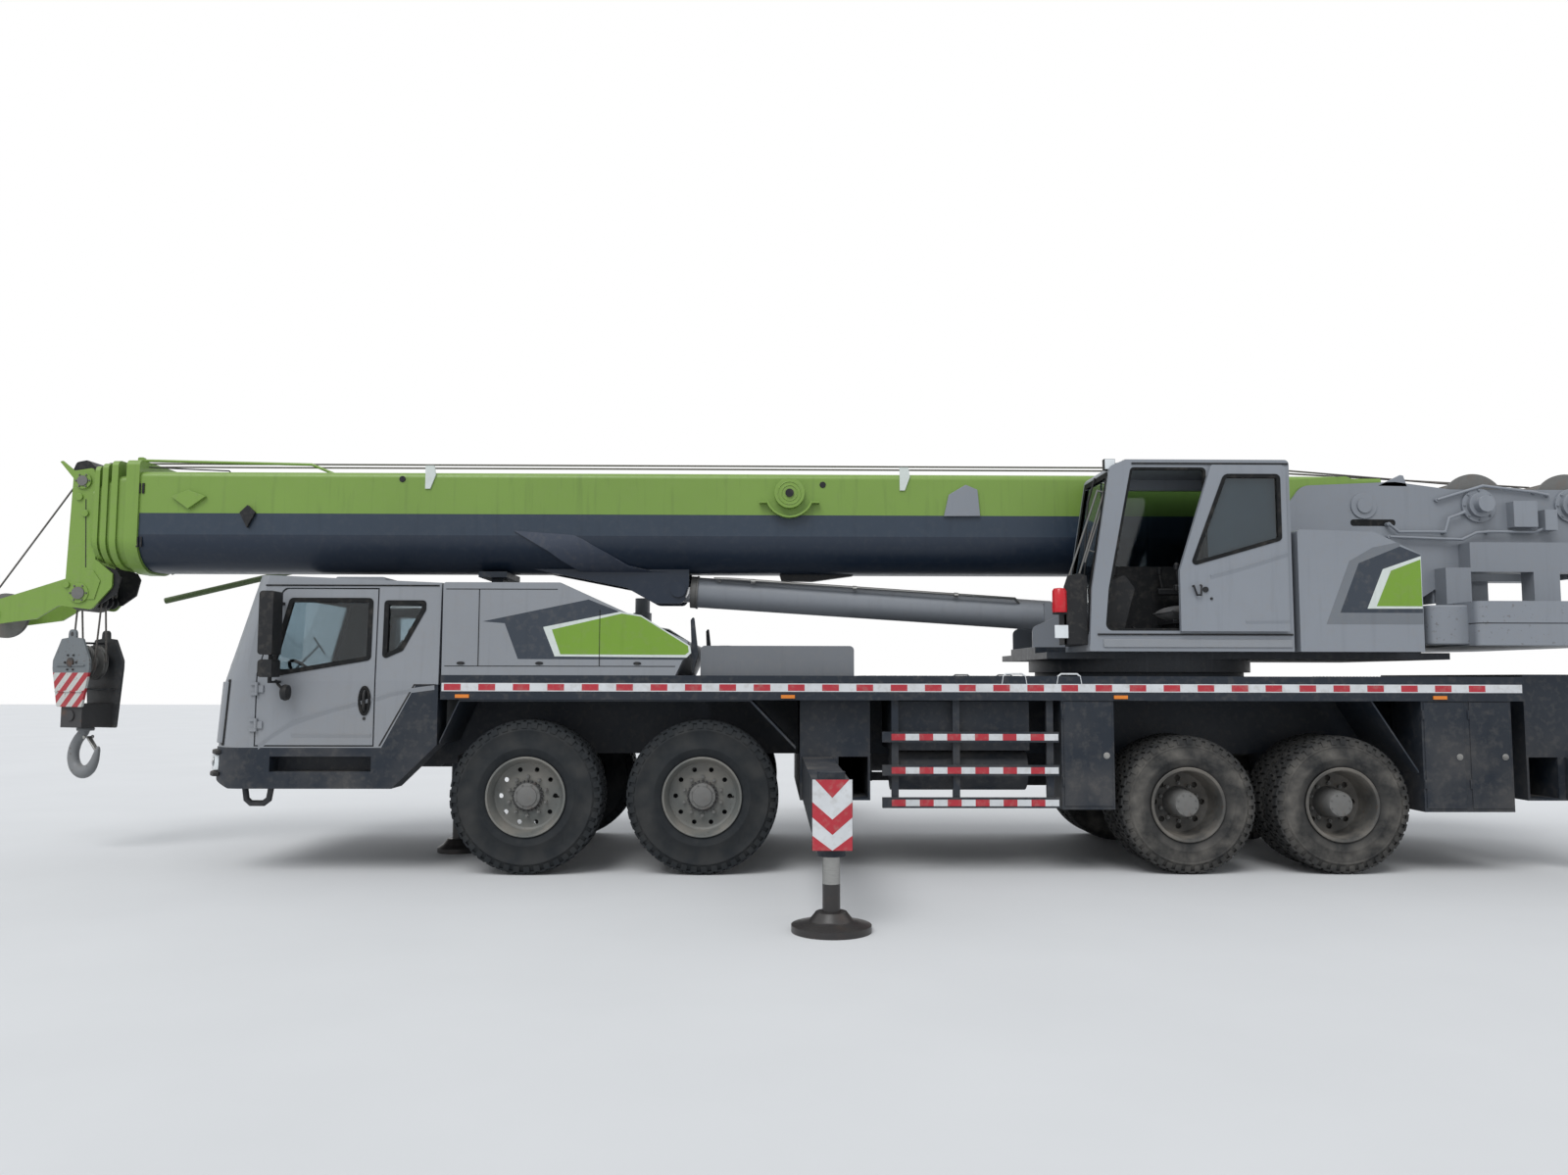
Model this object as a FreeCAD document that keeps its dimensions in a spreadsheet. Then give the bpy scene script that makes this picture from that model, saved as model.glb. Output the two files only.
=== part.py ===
import FreeCAD, Part
import math
import os
import Sketcher
from FreeCAD import Placement, Rotation, Vector
from types import SimpleNamespace

# Four-axle truck crane with a five-section telescopic boom, stood on its tyres with its
# outriggers out. Millimetres. +X points to the rear, +Y to the right side, +Z up, ground at 0.
# Lengthways places below are measured from the first axle. "mid" then shifts every piece so
# that the frame's origin lies on the ground under the middle of the whole crane.

os.makedirs("parts", exist_ok=True)
doc = FreeCAD.newDocument("TruckCrane")
sheet = doc.addObject("Spreadsheet::Sheet", "Sizes")

SIZES = {
    # whole crane
    "front_end": -5650,
    "rear_end": 10250,
    "side_face": 1390,
    "slew_x": 5750,
    "run_gap": 0.3,
    "part_gap": 5,
    # axles and wheels
    "axle_one": 0,
    "axle_two": 1520,
    "axle_three": 5745,
    "axle_four": 7095,
    "front_tyre": 665,
    "front_width": 380,
    "front_bead": 330,
    "rear_tyre": 598,
    "rear_width": 300,
    "rear_bead": 310,
    "rear_outer": 1360,
    "twin_gap": 40,
    "rim_lip": 25,
    "hub_radius": 150,
    "hub_bore": 55,
    "hub_depth": 120,
    "spindle_fit": 0.05,
    "axle_radius": 85,
    "diff_radius": 210,
    "kingpin_y": 1000,
    "kingpin_radius": 30,
    "knuckle_half": 130,
    # carrier frame and deck
    "rail_outer": 440,
    "rail_inner": 400,
    "frame_low": 980,
    "frame_top": 1560,
    "deck_low": 1650,
    "deck_top": 1712,
    "seat_ring_top": 1752,
    "deck_front": -750,
    "deck_rear": 8700,
    "deck_edge": 1375,
    "valance_low": 1500,
    # outriggers
    "out_front": 2520,
    "out_rear": 9300,
    "out_pitch": 320,
    "out_box_half": 1190,
    "out_wall": 20,
    "beam_wide": 260,
    "beam_low": 640,
    "beam_top": 1000,
    "beam_reach": 3550,
    "beam_inner": 860,
    "jack_tube": 95,
    "jack_tube_low": 500,
    "jack_tube_top": 1060,
    "jack_rod": 60,
    "jack_fit": 0.05,
    "jack_rod_top": 680,
    "jack_cap": 15,
    "pad_radius": 270,
    "pad_rim": 45,
    "pad_boss": 130,
    "sign_wide": 270,
    "sign_low": 550,
    "sign_top": 1020,
    "sign_out": 140,
    "fifth_x": -930,
    "fifth_low": 420,
    "fifth_top": 1080,
    "fifth_rod_top": 780,
    # carrier cab
    "cab_low": 1085,
    "heel_front": -1246,
    "heel_rear": -960,
    "heel_top": 1630,
    "cab_waist": 1660,
    "cab_top": 2600,
    "cab_roof_rear": 2520,
    "cab_nose": -2760,
    "cab_waist_front": -2720,
    "cab_roof_front": -2430,
    "cab_rear": -770,
    "cab_roof_half": 1345,
    "cab_corner": 330,
    "cab_wall": 60,
    "door_front": -2340,
    "door_rear": -1310,
    "door_top": 2470,
    "door_roof_front": -2150,
    "door_gap": 12,
    "hinge_x": -2324,
    "hinge_out": 16,
    "hinge_radius": 14,
    "hinge_pin": 8,
    "mirror_x": -2150,
    "mirror_low": 1640,
    "mirror_top": 2340,
    "bumper_low": 735,
    # engine hood
    "hood_front": -745,
    "hood_low": 1712,
    "hood_top": 2520,
    "hood_break": 273,
    "hood_rear": 1390,
    "hood_rear_top": 2010,
    "hood_wall": 40,
    "pipe_x": 700,
    "pipe_y": 1220,
    "pipe_radius": 80,
    "pipe_top": 2560,
    # upper structure
    "ring_radius": 1050,
    "base_low": 1930,
    "base_top": 1990,
    "side_in": 425,
    "side_wall": 30,
    "foot_x": 7844,
    "foot_z": 3363,
    "foot_pin": 70,
    "frame_high": 3528,
    "beam_rear_low": 2709,
    "beam_rear_top": 2991,
    "drum_one": 8960,
    "drum_two": 9870,
    "drum_z": 3370,
    "drum_flange": 320,
    "drum_core": 190,
    "weight_front": 8330,
    "weight_rear": 9740,
    "weight_low": 1990,
    "weight_mid": 2185,
    "weight_top": 2381,
    # operator cab
    "seat_front": 4920,
    "seat_rear": 6700,
    "cab_seat": 0.3,
    "plate_thick": 60,
    "seat_top": 3630,
    "seat_in": 560,
    "seat_wall": 50,
    "slide_thick": 45,
    # boom
    "boom_half": 390,
    "boom_top": 3670,
    "boom_low": 2715,
    "boom_round": 320,
    "boom_skin": 12,
    "nest_gap": 37,
    "collar_proud": 20,
    "head_front": -4740,
    "head_rear": -4462,
    "head_top": 3730,
    "head_half": 215,
    "head_pin_x": -4600,
    "head_pin_z": 2500,
    "head_sheave": 170,
    "nose_x": -5430,
    "nose_z": 2290,
    "nose_sheave": 220,
    "rope": 9,
    # luffing cylinder
    "eye_x": 1207,
    "eye_z": 2550,
    "eye_radius": 105,
    "luff_x": 5100,
    "luff_z": 2300,
    "luff_pin": 60,
    "barrel_radius": 150,
    "barrel_front": 1325,
    "luff_rod": 105,
    "luff_fit": 0.05,
    # hook block
    "block_low": 1400,
    "block_top": 2150,
    "block_half": 150,
    "block_wide": 430,
    "hook_low": 705,
    "rope_seat": 3.8,
}


class Size:
    """A length or place: its number, and the expression that binds it to the sheet."""

    def __init__(self, amount, text):
        self.amount = amount
        self.text = text

    def __add__(self, other):
        return joined(self, other, "+", lambda a, b: a + b)

    def __radd__(self, other):
        return joined(other, self, "+", lambda a, b: a + b)

    def __sub__(self, other):
        return joined(self, other, "-", lambda a, b: a - b)

    def __rsub__(self, other):
        return joined(other, self, "-", lambda a, b: a - b)

    def __mul__(self, other):
        return joined(self, other, "*", lambda a, b: a * b)

    def __rmul__(self, other):
        return joined(other, self, "*", lambda a, b: a * b)

    def __truediv__(self, other):
        return joined(self, other, "/", lambda a, b: a / b)

    def __rtruediv__(self, other):
        return joined(other, self, "/", lambda a, b: a / b)

    def __neg__(self):
        return joined(0, self, "-", lambda a, b: a - b)


def amount(value):
    return value.amount if isinstance(value, Size) else float(value)


def text(value):
    return value.text if isinstance(value, Size) else f"({float(value)!r})"


def joined(first, second, sign, work):
    total = work(amount(first), amount(second))
    return Size(total, f"({text(first)} {sign} {text(second)})")


def angle_of(rise, run):
    """The slope of a line in degrees."""
    slope = math.degrees(math.atan2(amount(rise), amount(run)))
    return Size(slope, f"atan2({text(rise)}; {text(run)})")


def length_of(rise, run):
    return Size(math.hypot(amount(rise), amount(run)), f"hypot({text(rise)}; {text(run)})")


def fill_sheet():
    """Write each size into the sheet as a plain number with its alias."""
    names = {}
    for row, (alias, value) in enumerate(SIZES.items(), start=1):
        sheet.set(f"A{row}", alias)
        sheet.set(f"B{row}", str(value))
        sheet.setAlias(f"B{row}", alias)
        names[alias] = Size(float(value), f"Sizes.{alias}")
    doc.recompute()
    return SimpleNamespace(**names)


d = fill_sheet()
mid = (d.front_end + d.rear_end) / 2
TURN_X = Rotation(Vector(0, 1, 0), 90)
TURN_Y = Rotation(Vector(1, 0, 0), -90)
NO_TURN = Rotation()
NODES = {}


def bind(item, path, value):
    if isinstance(value, Size):
        item.setExpression(path, value.text)


def place(item, spot, turn=NO_TURN):
    """Set an object at a spot given from the first axle, bound to the sheet."""
    spot = (spot[0] - mid, spot[1], spot[2])
    item.Placement = Placement(Vector(*[amount(value) for value in spot]), turn)
    for axis, value in zip("xyz", spot):
        bind(item, f"Placement.Base.{axis}", value)
    return item


def setting(item, name, value):
    setattr(item, name, amount(value))
    bind(item, name, value)


def block(x, y, z):
    """A box between low and high faces on each axis."""
    box = doc.addObject("Part::Box", "Block")
    for name, (low, high) in zip(("Length", "Width", "Height"), (x, y, z)):
        setting(box, name, high - low)
    return place(box, (x[0], y[0], z[0]))


def rod(axis, spot, length, radius):
    """A round bar that starts at a spot and runs along +X, +Y or +Z."""
    bar = doc.addObject("Part::Cylinder", "Rod")
    setting(bar, "Radius", radius)
    setting(bar, "Height", length)
    return place(bar, spot, {"x": TURN_X, "y": TURN_Y, "z": NO_TURN}[axis])


def leaning_rod(start, end, radius, y=0):
    """A round bar between two (x, z) points in a lengthways plane."""
    bar = doc.addObject("Part::Cylinder", "Rod")
    rise, run = end[1] - start[1], end[0] - start[0]
    setting(bar, "Radius", radius)
    setting(bar, "Height", length_of(rise, run))
    lean = angle_of(run, rise)
    place(bar, (start[0], y, start[1]), Rotation(Vector(0, 1, 0), amount(lean)))
    bind(bar, "Placement.Rotation.Angle", lean)
    return bar


def origin_plane(body, role):
    return [item for item in body.Origin.OriginFeatures if item.Role == role][0]


def draw(sketch, outline):
    """Close an outline of (a, b) corners, or (a, b, radius) rounded ones."""
    count = len(outline)
    spots = [Vector(amount(corner[0]), amount(corner[1]), 0) for corner in outline]
    entry, leave, arcs = {}, {}, {}
    for i, corner in enumerate(outline):
        entry[i] = leave[i] = spots[i]
        if len(corner) < 3:
            continue
        radius = amount(corner[2])
        back = (spots[i - 1] - spots[i]).normalize()
        ahead = (spots[(i + 1) % count] - spots[i]).normalize()
        half = back.getAngle(ahead) / 2
        entry[i] = spots[i] + back * (radius / math.tan(half))
        leave[i] = spots[i] + ahead * (radius / math.tan(half))
        centre = spots[i] + (back + ahead).normalize() * (radius / math.sin(half))
        arcs[i] = (centre, radius, ahead.cross(back).z > 0)
    base = sketch.GeometryCount
    for i in range(count):
        sketch.addGeometry(Part.LineSegment(leave[i], entry[(i + 1) % count]), False)
    rules, bound = [], []

    def pin(geometry, end, corner):
        for kind, value, axis in (("DistanceX", corner[0], -2), ("DistanceY", corner[1], -1)):
            if not isinstance(value, Size) and value == 0:
                rules.append(Sketcher.Constraint("PointOnObject", geometry, end, axis))
            else:
                rules.append(Sketcher.Constraint(kind, -1, 1, geometry, end, amount(value)))
                bound.append((len(rules) - 1, value))

    for i, corner in enumerate(outline):
        before, after = base + (i - 1) % count, base + i
        if i not in arcs:
            rules.append(Sketcher.Constraint("Coincident", before, 2, after, 1))
            pin(after, 1, corner)
            continue
        centre, radius, left_turn = arcs[i]
        first, last = (entry[i], leave[i]) if left_turn else (leave[i], entry[i])
        start = math.atan2(first.y - centre.y, first.x - centre.x)
        sweep = (math.atan2(last.y - centre.y, last.x - centre.x) - start) % (2 * math.pi)
        circle = Part.Circle(centre, Vector(0, 0, 1), radius)
        arc = sketch.addGeometry(Part.ArcOfCircle(circle, start, start + sweep), False)
        mark = sketch.addGeometry(Part.Point(spots[i]), True)
        into, out = (1, 2) if left_turn else (2, 1)
        rules.append(Sketcher.Constraint("Tangent", before, 2, arc, into))
        rules.append(Sketcher.Constraint("Tangent", arc, out, after, 1))
        rules.append(Sketcher.Constraint("PointOnObject", mark, 1, before))
        rules.append(Sketcher.Constraint("PointOnObject", mark, 1, after))
        pin(mark, 1, corner)
        rules.append(Sketcher.Constraint("Radius", arc, radius))
        bound.append((len(rules) - 1, corner[2]))
    offset = sketch.ConstraintCount
    sketch.addConstraint(rules)
    for index, value in bound:
        bind(sketch, f"Constraints[{offset + index}]", value)


def prism(plane, outlines, low, high):
    """A body padded from a closed outline, with any further outlines as holes.

    "side" outlines are (x, z) and run from y = low to high; "front" ones are (y, z) and run
    along x; "top" ones are (x, y) and run up in z.
    """
    role = {"side": "XZ_Plane", "front": "YZ_Plane", "top": "XY_Plane"}[plane]
    body = doc.addObject("PartDesign::Body", "Prism")
    sketch = body.newObject("Sketcher::SketchObject", "Outline")
    sketch.AttachmentSupport = [(origin_plane(body, role), "")]
    sketch.MapMode = "FlatFace"
    for outline in outlines:
        draw(sketch, outline)
    pad = body.newObject("PartDesign::Pad", "Pad")
    pad.Profile = sketch
    setting(pad, "Length", high - low)
    sketch.Visibility = False
    start = {"side": (0, high, 0), "front": (low, 0, 0), "top": (0, 0, low)}[plane]
    return place(body, start)


def turned(outline, x, z, y=0):
    """A body revolved about a crossways axis from a (y, radius) outline."""
    body = doc.addObject("PartDesign::Body", "Turned")
    sketch = body.newObject("Sketcher::SketchObject", "Outline")
    sketch.AttachmentSupport = [(origin_plane(body, "YZ_Plane"), "")]
    sketch.MapMode = "FlatFace"
    draw(sketch, outline)
    spin = body.newObject("PartDesign::Revolution", "Revolution")
    spin.Profile = sketch
    spin.ReferenceAxis = (sketch, ["H_Axis"])
    spin.Angle = 360
    return place(body, (x, y, z))


def leaning_prism(outline, low, high, lean):
    """A level (x, y) outline drawn up from z = low to high while it leans back along x."""
    sketch = doc.addObject("Sketcher::SketchObject", "Level")
    draw(sketch, outline)
    place(sketch, (0, 0, low))
    sketch.Visibility = False
    drawn = doc.addObject("Part::Extrusion", "Leaning")
    drawn.Base = sketch
    drawn.DirMode = "Custom"
    drawn.Dir = Vector(amount(lean), 0, amount(high - low))
    bind(drawn, "Dir.x", lean)
    bind(drawn, "Dir.z", high - low)
    setting(drawn, "LengthFwd", length_of(lean, high - low))
    drawn.Solid = True
    return drawn


def fused(*pieces):
    if len(pieces) == 1:
        return pieces[0]
    whole = doc.addObject("Part::MultiFuse", "Fused")
    whole.Shapes = list(pieces)
    whole.Refine = True
    return whole


def cut(base, *tools):
    rest = doc.addObject("Part::Cut", "Cut")
    rest.Base = base
    rest.Tool = fused(*tools)
    return rest


def common(base, tool):
    shared = doc.addObject("Part::Common", "Common")
    shared.Base = base
    shared.Tool = tool
    return shared


def mirrored(piece):
    """The same piece on the other side of the crane."""
    other = doc.addObject("Part::Mirroring", "Mirrored")
    other.Source = piece
    other.Normal = Vector(0, 1, 0)
    return other


def both(piece):
    return [piece, mirrored(piece)]


def node(name, *pieces):
    """Name a sub-part. Several pieces stay apart as solids of one sub-part."""
    whole = pieces[0]
    if len(pieces) > 1:
        whole = doc.addObject("Part::Compound", name)
        whole.Links = list(pieces)
    whole.Label = name
    NODES[name] = whole
    return whole


# Wheels, knuckles and axles.


def tyre_outline(side, width, radius, bead, inner, outer):
    """The tyre's section from its outer bead round the tread to its inner bead."""
    return [
        (side * (outer - d.rim_lip), bead + d.rim_lip),
        (side * outer, (radius + bead) / 2, 90),
        (side * (outer - 12), radius - 25, 30),
        (side * (outer - 45), radius),
        (side * (inner + 45), radius),
        (side * (inner + 12), radius - 25, 30),
        (side * inner, (radius + bead) / 2, 90),
        (side * (inner + d.rim_lip), bead + d.rim_lip),
    ]


def single_wheel(name, axle_x, side):
    """A steered wheel: tyre, deep rim, disc set well in and a hub with its cap."""
    outer = d.side_face
    inner = outer - d.front_width
    disc = outer - 150
    hub_in = d.kingpin_y + d.knuckle_half + d.part_gap
    outline = [(side * (hub_in + d.hub_depth), 0), (side * (outer - 60), 0), (side * (outer - 60), 80, 12)]
    outline += [(side * (outer - 95), 100, 10), (side * (disc + 12), 125), (side * disc, 270, 30)]
    outline += [(side * (outer - 40), 300, 15), (side * (outer - 5), d.front_bead)]
    outline += tyre_outline(side, d.front_width, d.front_tyre, d.front_bead, inner, outer)
    outline += [(side * (inner + 5), d.front_bead), (side * (inner + 60), 305, 20)]
    outline += [(side * (disc - 60), 285, 30), (side * (disc - 20), d.hub_radius)]
    outline += [(side * hub_in, d.hub_radius), (side * hub_in, d.hub_bore)]
    outline += [(side * (hub_in + d.hub_depth), d.hub_bore)]
    node(name, turned(outline, axle_x, d.front_tyre))


def twin_wheel(name, axle_x, side):
    """Twin tyres on one hub: both rims meet at the middle, with the hub standing out."""
    outer = d.rear_outer
    split = outer - d.rear_width
    inner_outer = split - d.twin_gap
    inner = inner_outer - d.rear_width
    hub_in = inner - 20
    outline = [(side * (hub_in + d.hub_depth), 0), (side * (outer - 35), 0), (side * (outer - 35), 110, 15)]
    outline += [(side * (outer - 80), 130), (side * (split + 40), 150), (side * (split + 20), 250, 25)]
    outline += [(side * (outer - 40), 275, 15), (side * (outer - 5), d.rear_bead)]
    outline += tyre_outline(side, d.rear_width, d.rear_tyre, d.rear_bead, split, outer)
    outline += [(side * (split + 5), d.rear_bead), (side * (split + 5), 285), (side * (inner_outer - 5), 285)]
    outline += [(side * (inner_outer - 5), d.rear_bead)]
    outline += tyre_outline(side, d.rear_width, d.rear_tyre, d.rear_bead, inner, inner_outer)
    outline += [(side * (inner + 5), d.rear_bead), (side * (inner + 60), 280, 20)]
    outline += [(side * (split - 60), 240, 20), (side * (split - 60), d.hub_radius)]
    outline += [(side * hub_in, d.hub_radius), (side * hub_in, d.hub_bore)]
    outline += [(side * (hub_in + d.hub_depth), d.hub_bore)]
    node(name, turned(outline, axle_x, d.rear_tyre))


def knuckle(name, axle_x, side):
    """A steering knuckle: forked round the axle's end, with the wheel's spindle on its face."""
    half = d.knuckle_half
    low, high = d.kingpin_y - half, d.kingpin_y + half
    arms = [
        block((axle_x - 75, axle_x + 75), span(side, low, high), (z0, z1))
        for z0, z1 in (
            (d.front_tyre - 185, d.front_tyre - d.axle_radius - d.part_gap),
            (d.front_tyre + d.axle_radius + d.part_gap, d.front_tyre + 185),
        )
    ]
    face_low = d.kingpin_y + d.axle_radius + d.part_gap
    face = block(
        (axle_x - 75, axle_x + 75), span(side, face_low, high), (d.front_tyre - 185, d.front_tyre + 185)
    )
    spindle = turned(
        [
            (side * (high - 10), 0),
            (side * (high + d.part_gap + d.hub_depth - d.run_gap), 0),
            (side * (high + d.part_gap + d.hub_depth - d.run_gap), d.hub_bore - d.spindle_fit),
            (side * (high - 10), d.hub_bore - d.spindle_fit),
        ],
        axle_x,
        d.front_tyre,
    )
    hole = rod("z", (axle_x, side * d.kingpin_y, d.front_tyre - 300), 600, d.kingpin_radius + 0.05)
    node(name, cut(fused(*arms, face, spindle), hole))


def span(side, low, high):
    """A crossways pair measured outwards, turned round for the left side."""
    return (low, high) if side > 0 else (-high, -low)


def axle_beam(axle_x, radius_z, reach, kingpins):
    """An axle tube with its differential housing, kingpins at its ends if it steers."""
    pieces = [rod("y", (axle_x, -reach, radius_z), reach * 2, d.axle_radius)]
    pieces.append(
        turned(
            [
                (-230, 0),
                (-200, 110, 40),
                (-110, d.diff_radius, 60),
                (110, d.diff_radius, 60),
                (200, 110, 40),
                (230, 0),
            ],
            axle_x,
            radius_z,
        )
    )
    if kingpins:
        for side in (-1, 1):
            pieces.append(
                rod("z", (axle_x, side * d.kingpin_y, radius_z - 185), 370, d.kingpin_radius)
            )
    else:
        stub = d.rear_outer - d.rear_width * 2 - d.twin_gap - 20 + d.hub_depth - d.run_gap
        pieces.append(rod("y", (axle_x, -stub, radius_z), stub * 2, d.hub_bore - d.spindle_fit))
    for side in (-1, 1):
        low, high = span(side, d.rail_inner - 40, d.rail_outer + 20)
        pieces.append(block((axle_x - 60, axle_x + 60), (low, high), (radius_z, d.frame_low)))
    return fused(*pieces)


AXLES = [("one", d.axle_one), ("two", d.axle_two), ("three", d.axle_three), ("four", d.axle_four)]
for word, axle_x in AXLES[:2]:
    for side, hand in ((-1, "left"), (1, "right")):
        knuckle(f"knuckle_{word}_{hand}", axle_x, side)
        single_wheel(f"wheel_{word}_{hand}", axle_x, side)
for word, axle_x in AXLES[2:]:
    for side, hand in ((-1, "left"), (1, "right")):
        twin_wheel(f"wheel_{word}_{hand}", axle_x, side)


STEER_REACH = d.kingpin_y + 40
DRIVE_REACH = d.rear_outer - d.rear_width * 2 - d.twin_gap - 25
node("axles_front", *[axle_beam(axle_x, d.front_tyre, STEER_REACH, True) for word, axle_x in AXLES[:2]])
node("axles_rear", *[axle_beam(axle_x, d.rear_tyre, DRIVE_REACH, False) for word, axle_x in AXLES[2:]])


# Carrier frame, deck, lockers and outriggers.


def outrigger_box(near, far, top):
    """The crossways box that both beams of one end slide in, side by side."""
    half = d.beam_wide / 2 + d.out_wall
    low = d.beam_low - d.out_wall - d.run_gap
    return block((near - half, far + half), (-d.out_box_half, d.out_box_half), (low, top))


def beam_bay(x):
    """The room that one outrigger beam slides through, right across the frame."""
    half = d.beam_wide / 2 + d.run_gap
    return block(
        (x - half, x + half),
        (-d.out_box_half - 10, d.out_box_half + 10),
        (d.beam_low - d.run_gap, d.beam_top + d.run_gap),
    )


def chassis():
    rails = [
        prism(
            "side",
            [
                [
                    (-2300, 860),
                    (-2300, d.cab_low),
                    (-900, d.cab_low),
                    (-700, d.frame_top),
                    (2600, d.frame_top),
                    (2600, d.frame_low),
                    (-800, d.frame_low),
                    (-1000, 860),
                ]
            ],
            low,
            high,
        )
        for low, high in ((-d.rail_outer, -d.rail_inner), (d.rail_inner, d.rail_outer))
    ]
    cross = [
        block((x, x + 120), (-d.rail_outer, d.rail_outer), (d.frame_top - 200, d.frame_top))
        for x in (-640, 1450)
    ]
    cross.append(block((-2300, -2180), (-d.rail_outer, d.rail_outer), (870, 1030)))
    fifth = d.fifth_x
    cross.append(block((fifth - 90, fifth + 90), (-d.rail_outer, d.rail_outer), (880, 1060)))
    cross.append(rod("z", (fifth, 0, d.fifth_low), d.fifth_top - d.fifth_low, 80))
    main = block((2550, 9150), (-d.rail_outer, d.rail_outer), (d.frame_low, d.frame_top))
    hollow = block((2990, 8650), (-d.rail_inner, d.rail_inner), (d.frame_low + 40, d.frame_top - 40))
    boxes = [
        outrigger_box(d.out_front, d.out_front + d.out_pitch, d.frame_top),
        outrigger_box(d.out_rear - d.out_pitch, d.out_rear, 1735),
    ]
    bays = [
        beam_bay(x)
        for x in (d.out_front, d.out_front + d.out_pitch, d.out_rear - d.out_pitch, d.out_rear)
    ]
    tail = block((9400, 9640), (-d.out_box_half, d.out_box_half), (1100, 1735))
    seat_low = d.frame_top - 10
    ring_seat = rod("z", (d.slew_x, 0, seat_low), d.seat_ring_top - seat_low, d.ring_radius - 60)
    bore_low = d.fifth_low - 20
    bore = rod("z", (fifth, 0, bore_low), d.fifth_top - d.jack_cap - bore_low, d.jack_rod + d.jack_fit)
    whole = fused(*rails, *cross, cut(main, hollow), *boxes, tail, ring_seat)
    node("chassis", cut(whole, bore, *bays))


def deck():
    """The flat deck, open over the slew ring's seat, with a valance along each side."""
    plate = prism(
        "top",
        [
            [
                (1500, -d.deck_edge),
                (d.deck_rear, -d.deck_edge),
                (d.deck_rear, d.deck_edge),
                (1500, d.deck_edge),
            ]
        ],
        d.deck_low,
        d.deck_top,
    )
    opening = rod("z", (d.slew_x, 0, d.deck_low - 20), 120, d.ring_radius - 59.7)
    walks = both(
        block((d.deck_front, 1500), (-d.deck_edge, -1000), (d.deck_low, d.deck_top))
    )
    skirts = both(
        block((d.deck_front, d.deck_rear), (-d.side_face, -d.deck_edge), (d.valance_low, d.deck_top))
    )
    bearers = [
        block((x, x + 60), (-d.deck_edge, d.deck_edge), (d.frame_top, d.deck_low))
        for x in (1500, 3100, 4400, 7300, 8600)
    ]
    node("deck", fused(cut(plate, opening), *walks, *skirts, *bearers))


def fenders():
    """Sheet arches over the front and rear wheels, with a deep skirt on the outside."""
    front = [(-754, 1113), (-586, 1483), (1929, 1487), (2328, 1074)]
    rear = [(5400, 1495), (7360, 1495), (7760, 870)]
    pieces = []
    for points in (front, rear):
        inner = [(x, z) for x, z in reversed(points)]
        outline = [(x, z + 25) for x, z in points] + inner
        pieces += both(prism("side", [outline], -d.deck_edge, -700))
    return pieces


def lockers():
    """Toolboxes and side panels between the wheels and behind them, with their tanks."""
    sides = [
        ((4640, 5100), 560),
        ((7800, 8590), 540),
    ]
    pieces = []
    for x, low in sides:
        pieces += both(block(x, (-d.deck_edge, -900), (low, d.deck_low)))
    pieces += both(block((3170, 4390), (-1240, -d.rail_outer), (1060, 1490)))
    for y in (-1050, 1050):
        pieces.append(rod("x", (3180, y, 1060 - 180 - d.run_gap), 1200, 180))
    return pieces


def underrun():
    """Three side rails on posts that keep walkers and cyclists out from the wheels."""
    rails = [block((3080, 4620), (-d.deck_edge, -1335), (z - 45, z + 45)) for z in (1182, 895, 617)]
    posts = [block((x, x + 60), (-1335, -1290), (570, d.deck_low)) for x in (3165, 3700, 4520)]
    return both(fused(*rails, *posts))


chassis()
deck()
node("fenders", *fenders())
node("lockers", *lockers())
node("side_rails", *underrun())


def out_beam(name, x, side):
    """An outrigger beam run out, with the jack's tube and its striped end plate."""
    half = d.beam_wide / 2
    beam = block(
        (x - half, x + half),
        span(side, d.beam_inner, d.beam_reach - d.jack_tube + 20),
        (d.beam_low, d.beam_top),
    )
    core = block(
        (x - half + 12, x + half - 12),
        span(side, d.beam_inner - 5, d.beam_reach - d.jack_tube - 40),
        (d.beam_low + 12, d.beam_top - 12),
    )
    tube = rod("z", (x, side * d.beam_reach, d.jack_tube_low), d.jack_tube_top - d.jack_tube_low, d.jack_tube)
    plate = block(
        (x - d.sign_wide / 2, x + d.sign_wide / 2),
        span(side, d.beam_reach + d.sign_out - 6, d.beam_reach + d.sign_out),
        (d.sign_low, d.sign_top),
    )
    arm = block(
        (x - 40, x + 40),
        span(side, d.beam_reach + 60, d.beam_reach + d.sign_out - 5),
        (d.sign_low + 60, d.sign_top - 60),
    )
    bore_low = d.jack_tube_low - 10
    bore = rod(
        "z",
        (x, side * d.beam_reach, bore_low),
        d.jack_tube_top - d.jack_cap - bore_low,
        d.jack_rod + d.jack_fit,
    )
    node(name, cut(fused(cut(beam, core), tube, plate, arm), bore))


def jack(name, x, y, top, pad_radius):
    """A jack's rod with its round foot, which rises to a boss round the ball joint."""
    body = doc.addObject("PartDesign::Body", "Jack")
    sketch = body.newObject("Sketcher::SketchObject", "Outline")
    sketch.AttachmentSupport = [(origin_plane(body, "XZ_Plane"), "")]
    sketch.MapMode = "FlatFace"
    draw(
        sketch,
        [
            (0, 0),
            (pad_radius, 0),
            (pad_radius, d.pad_rim),
            (150, 75, 20),
            (105, d.pad_boss),
            (d.jack_rod, d.pad_boss),
            (d.jack_rod, top),
            (0, top),
        ],
    )
    spin = body.newObject("PartDesign::Revolution", "Revolution")
    spin.Profile = sketch
    spin.ReferenceAxis = (sketch, ["V_Axis"])
    spin.Angle = 360
    place(body, (x, y, 0))
    node(name, body)


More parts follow.
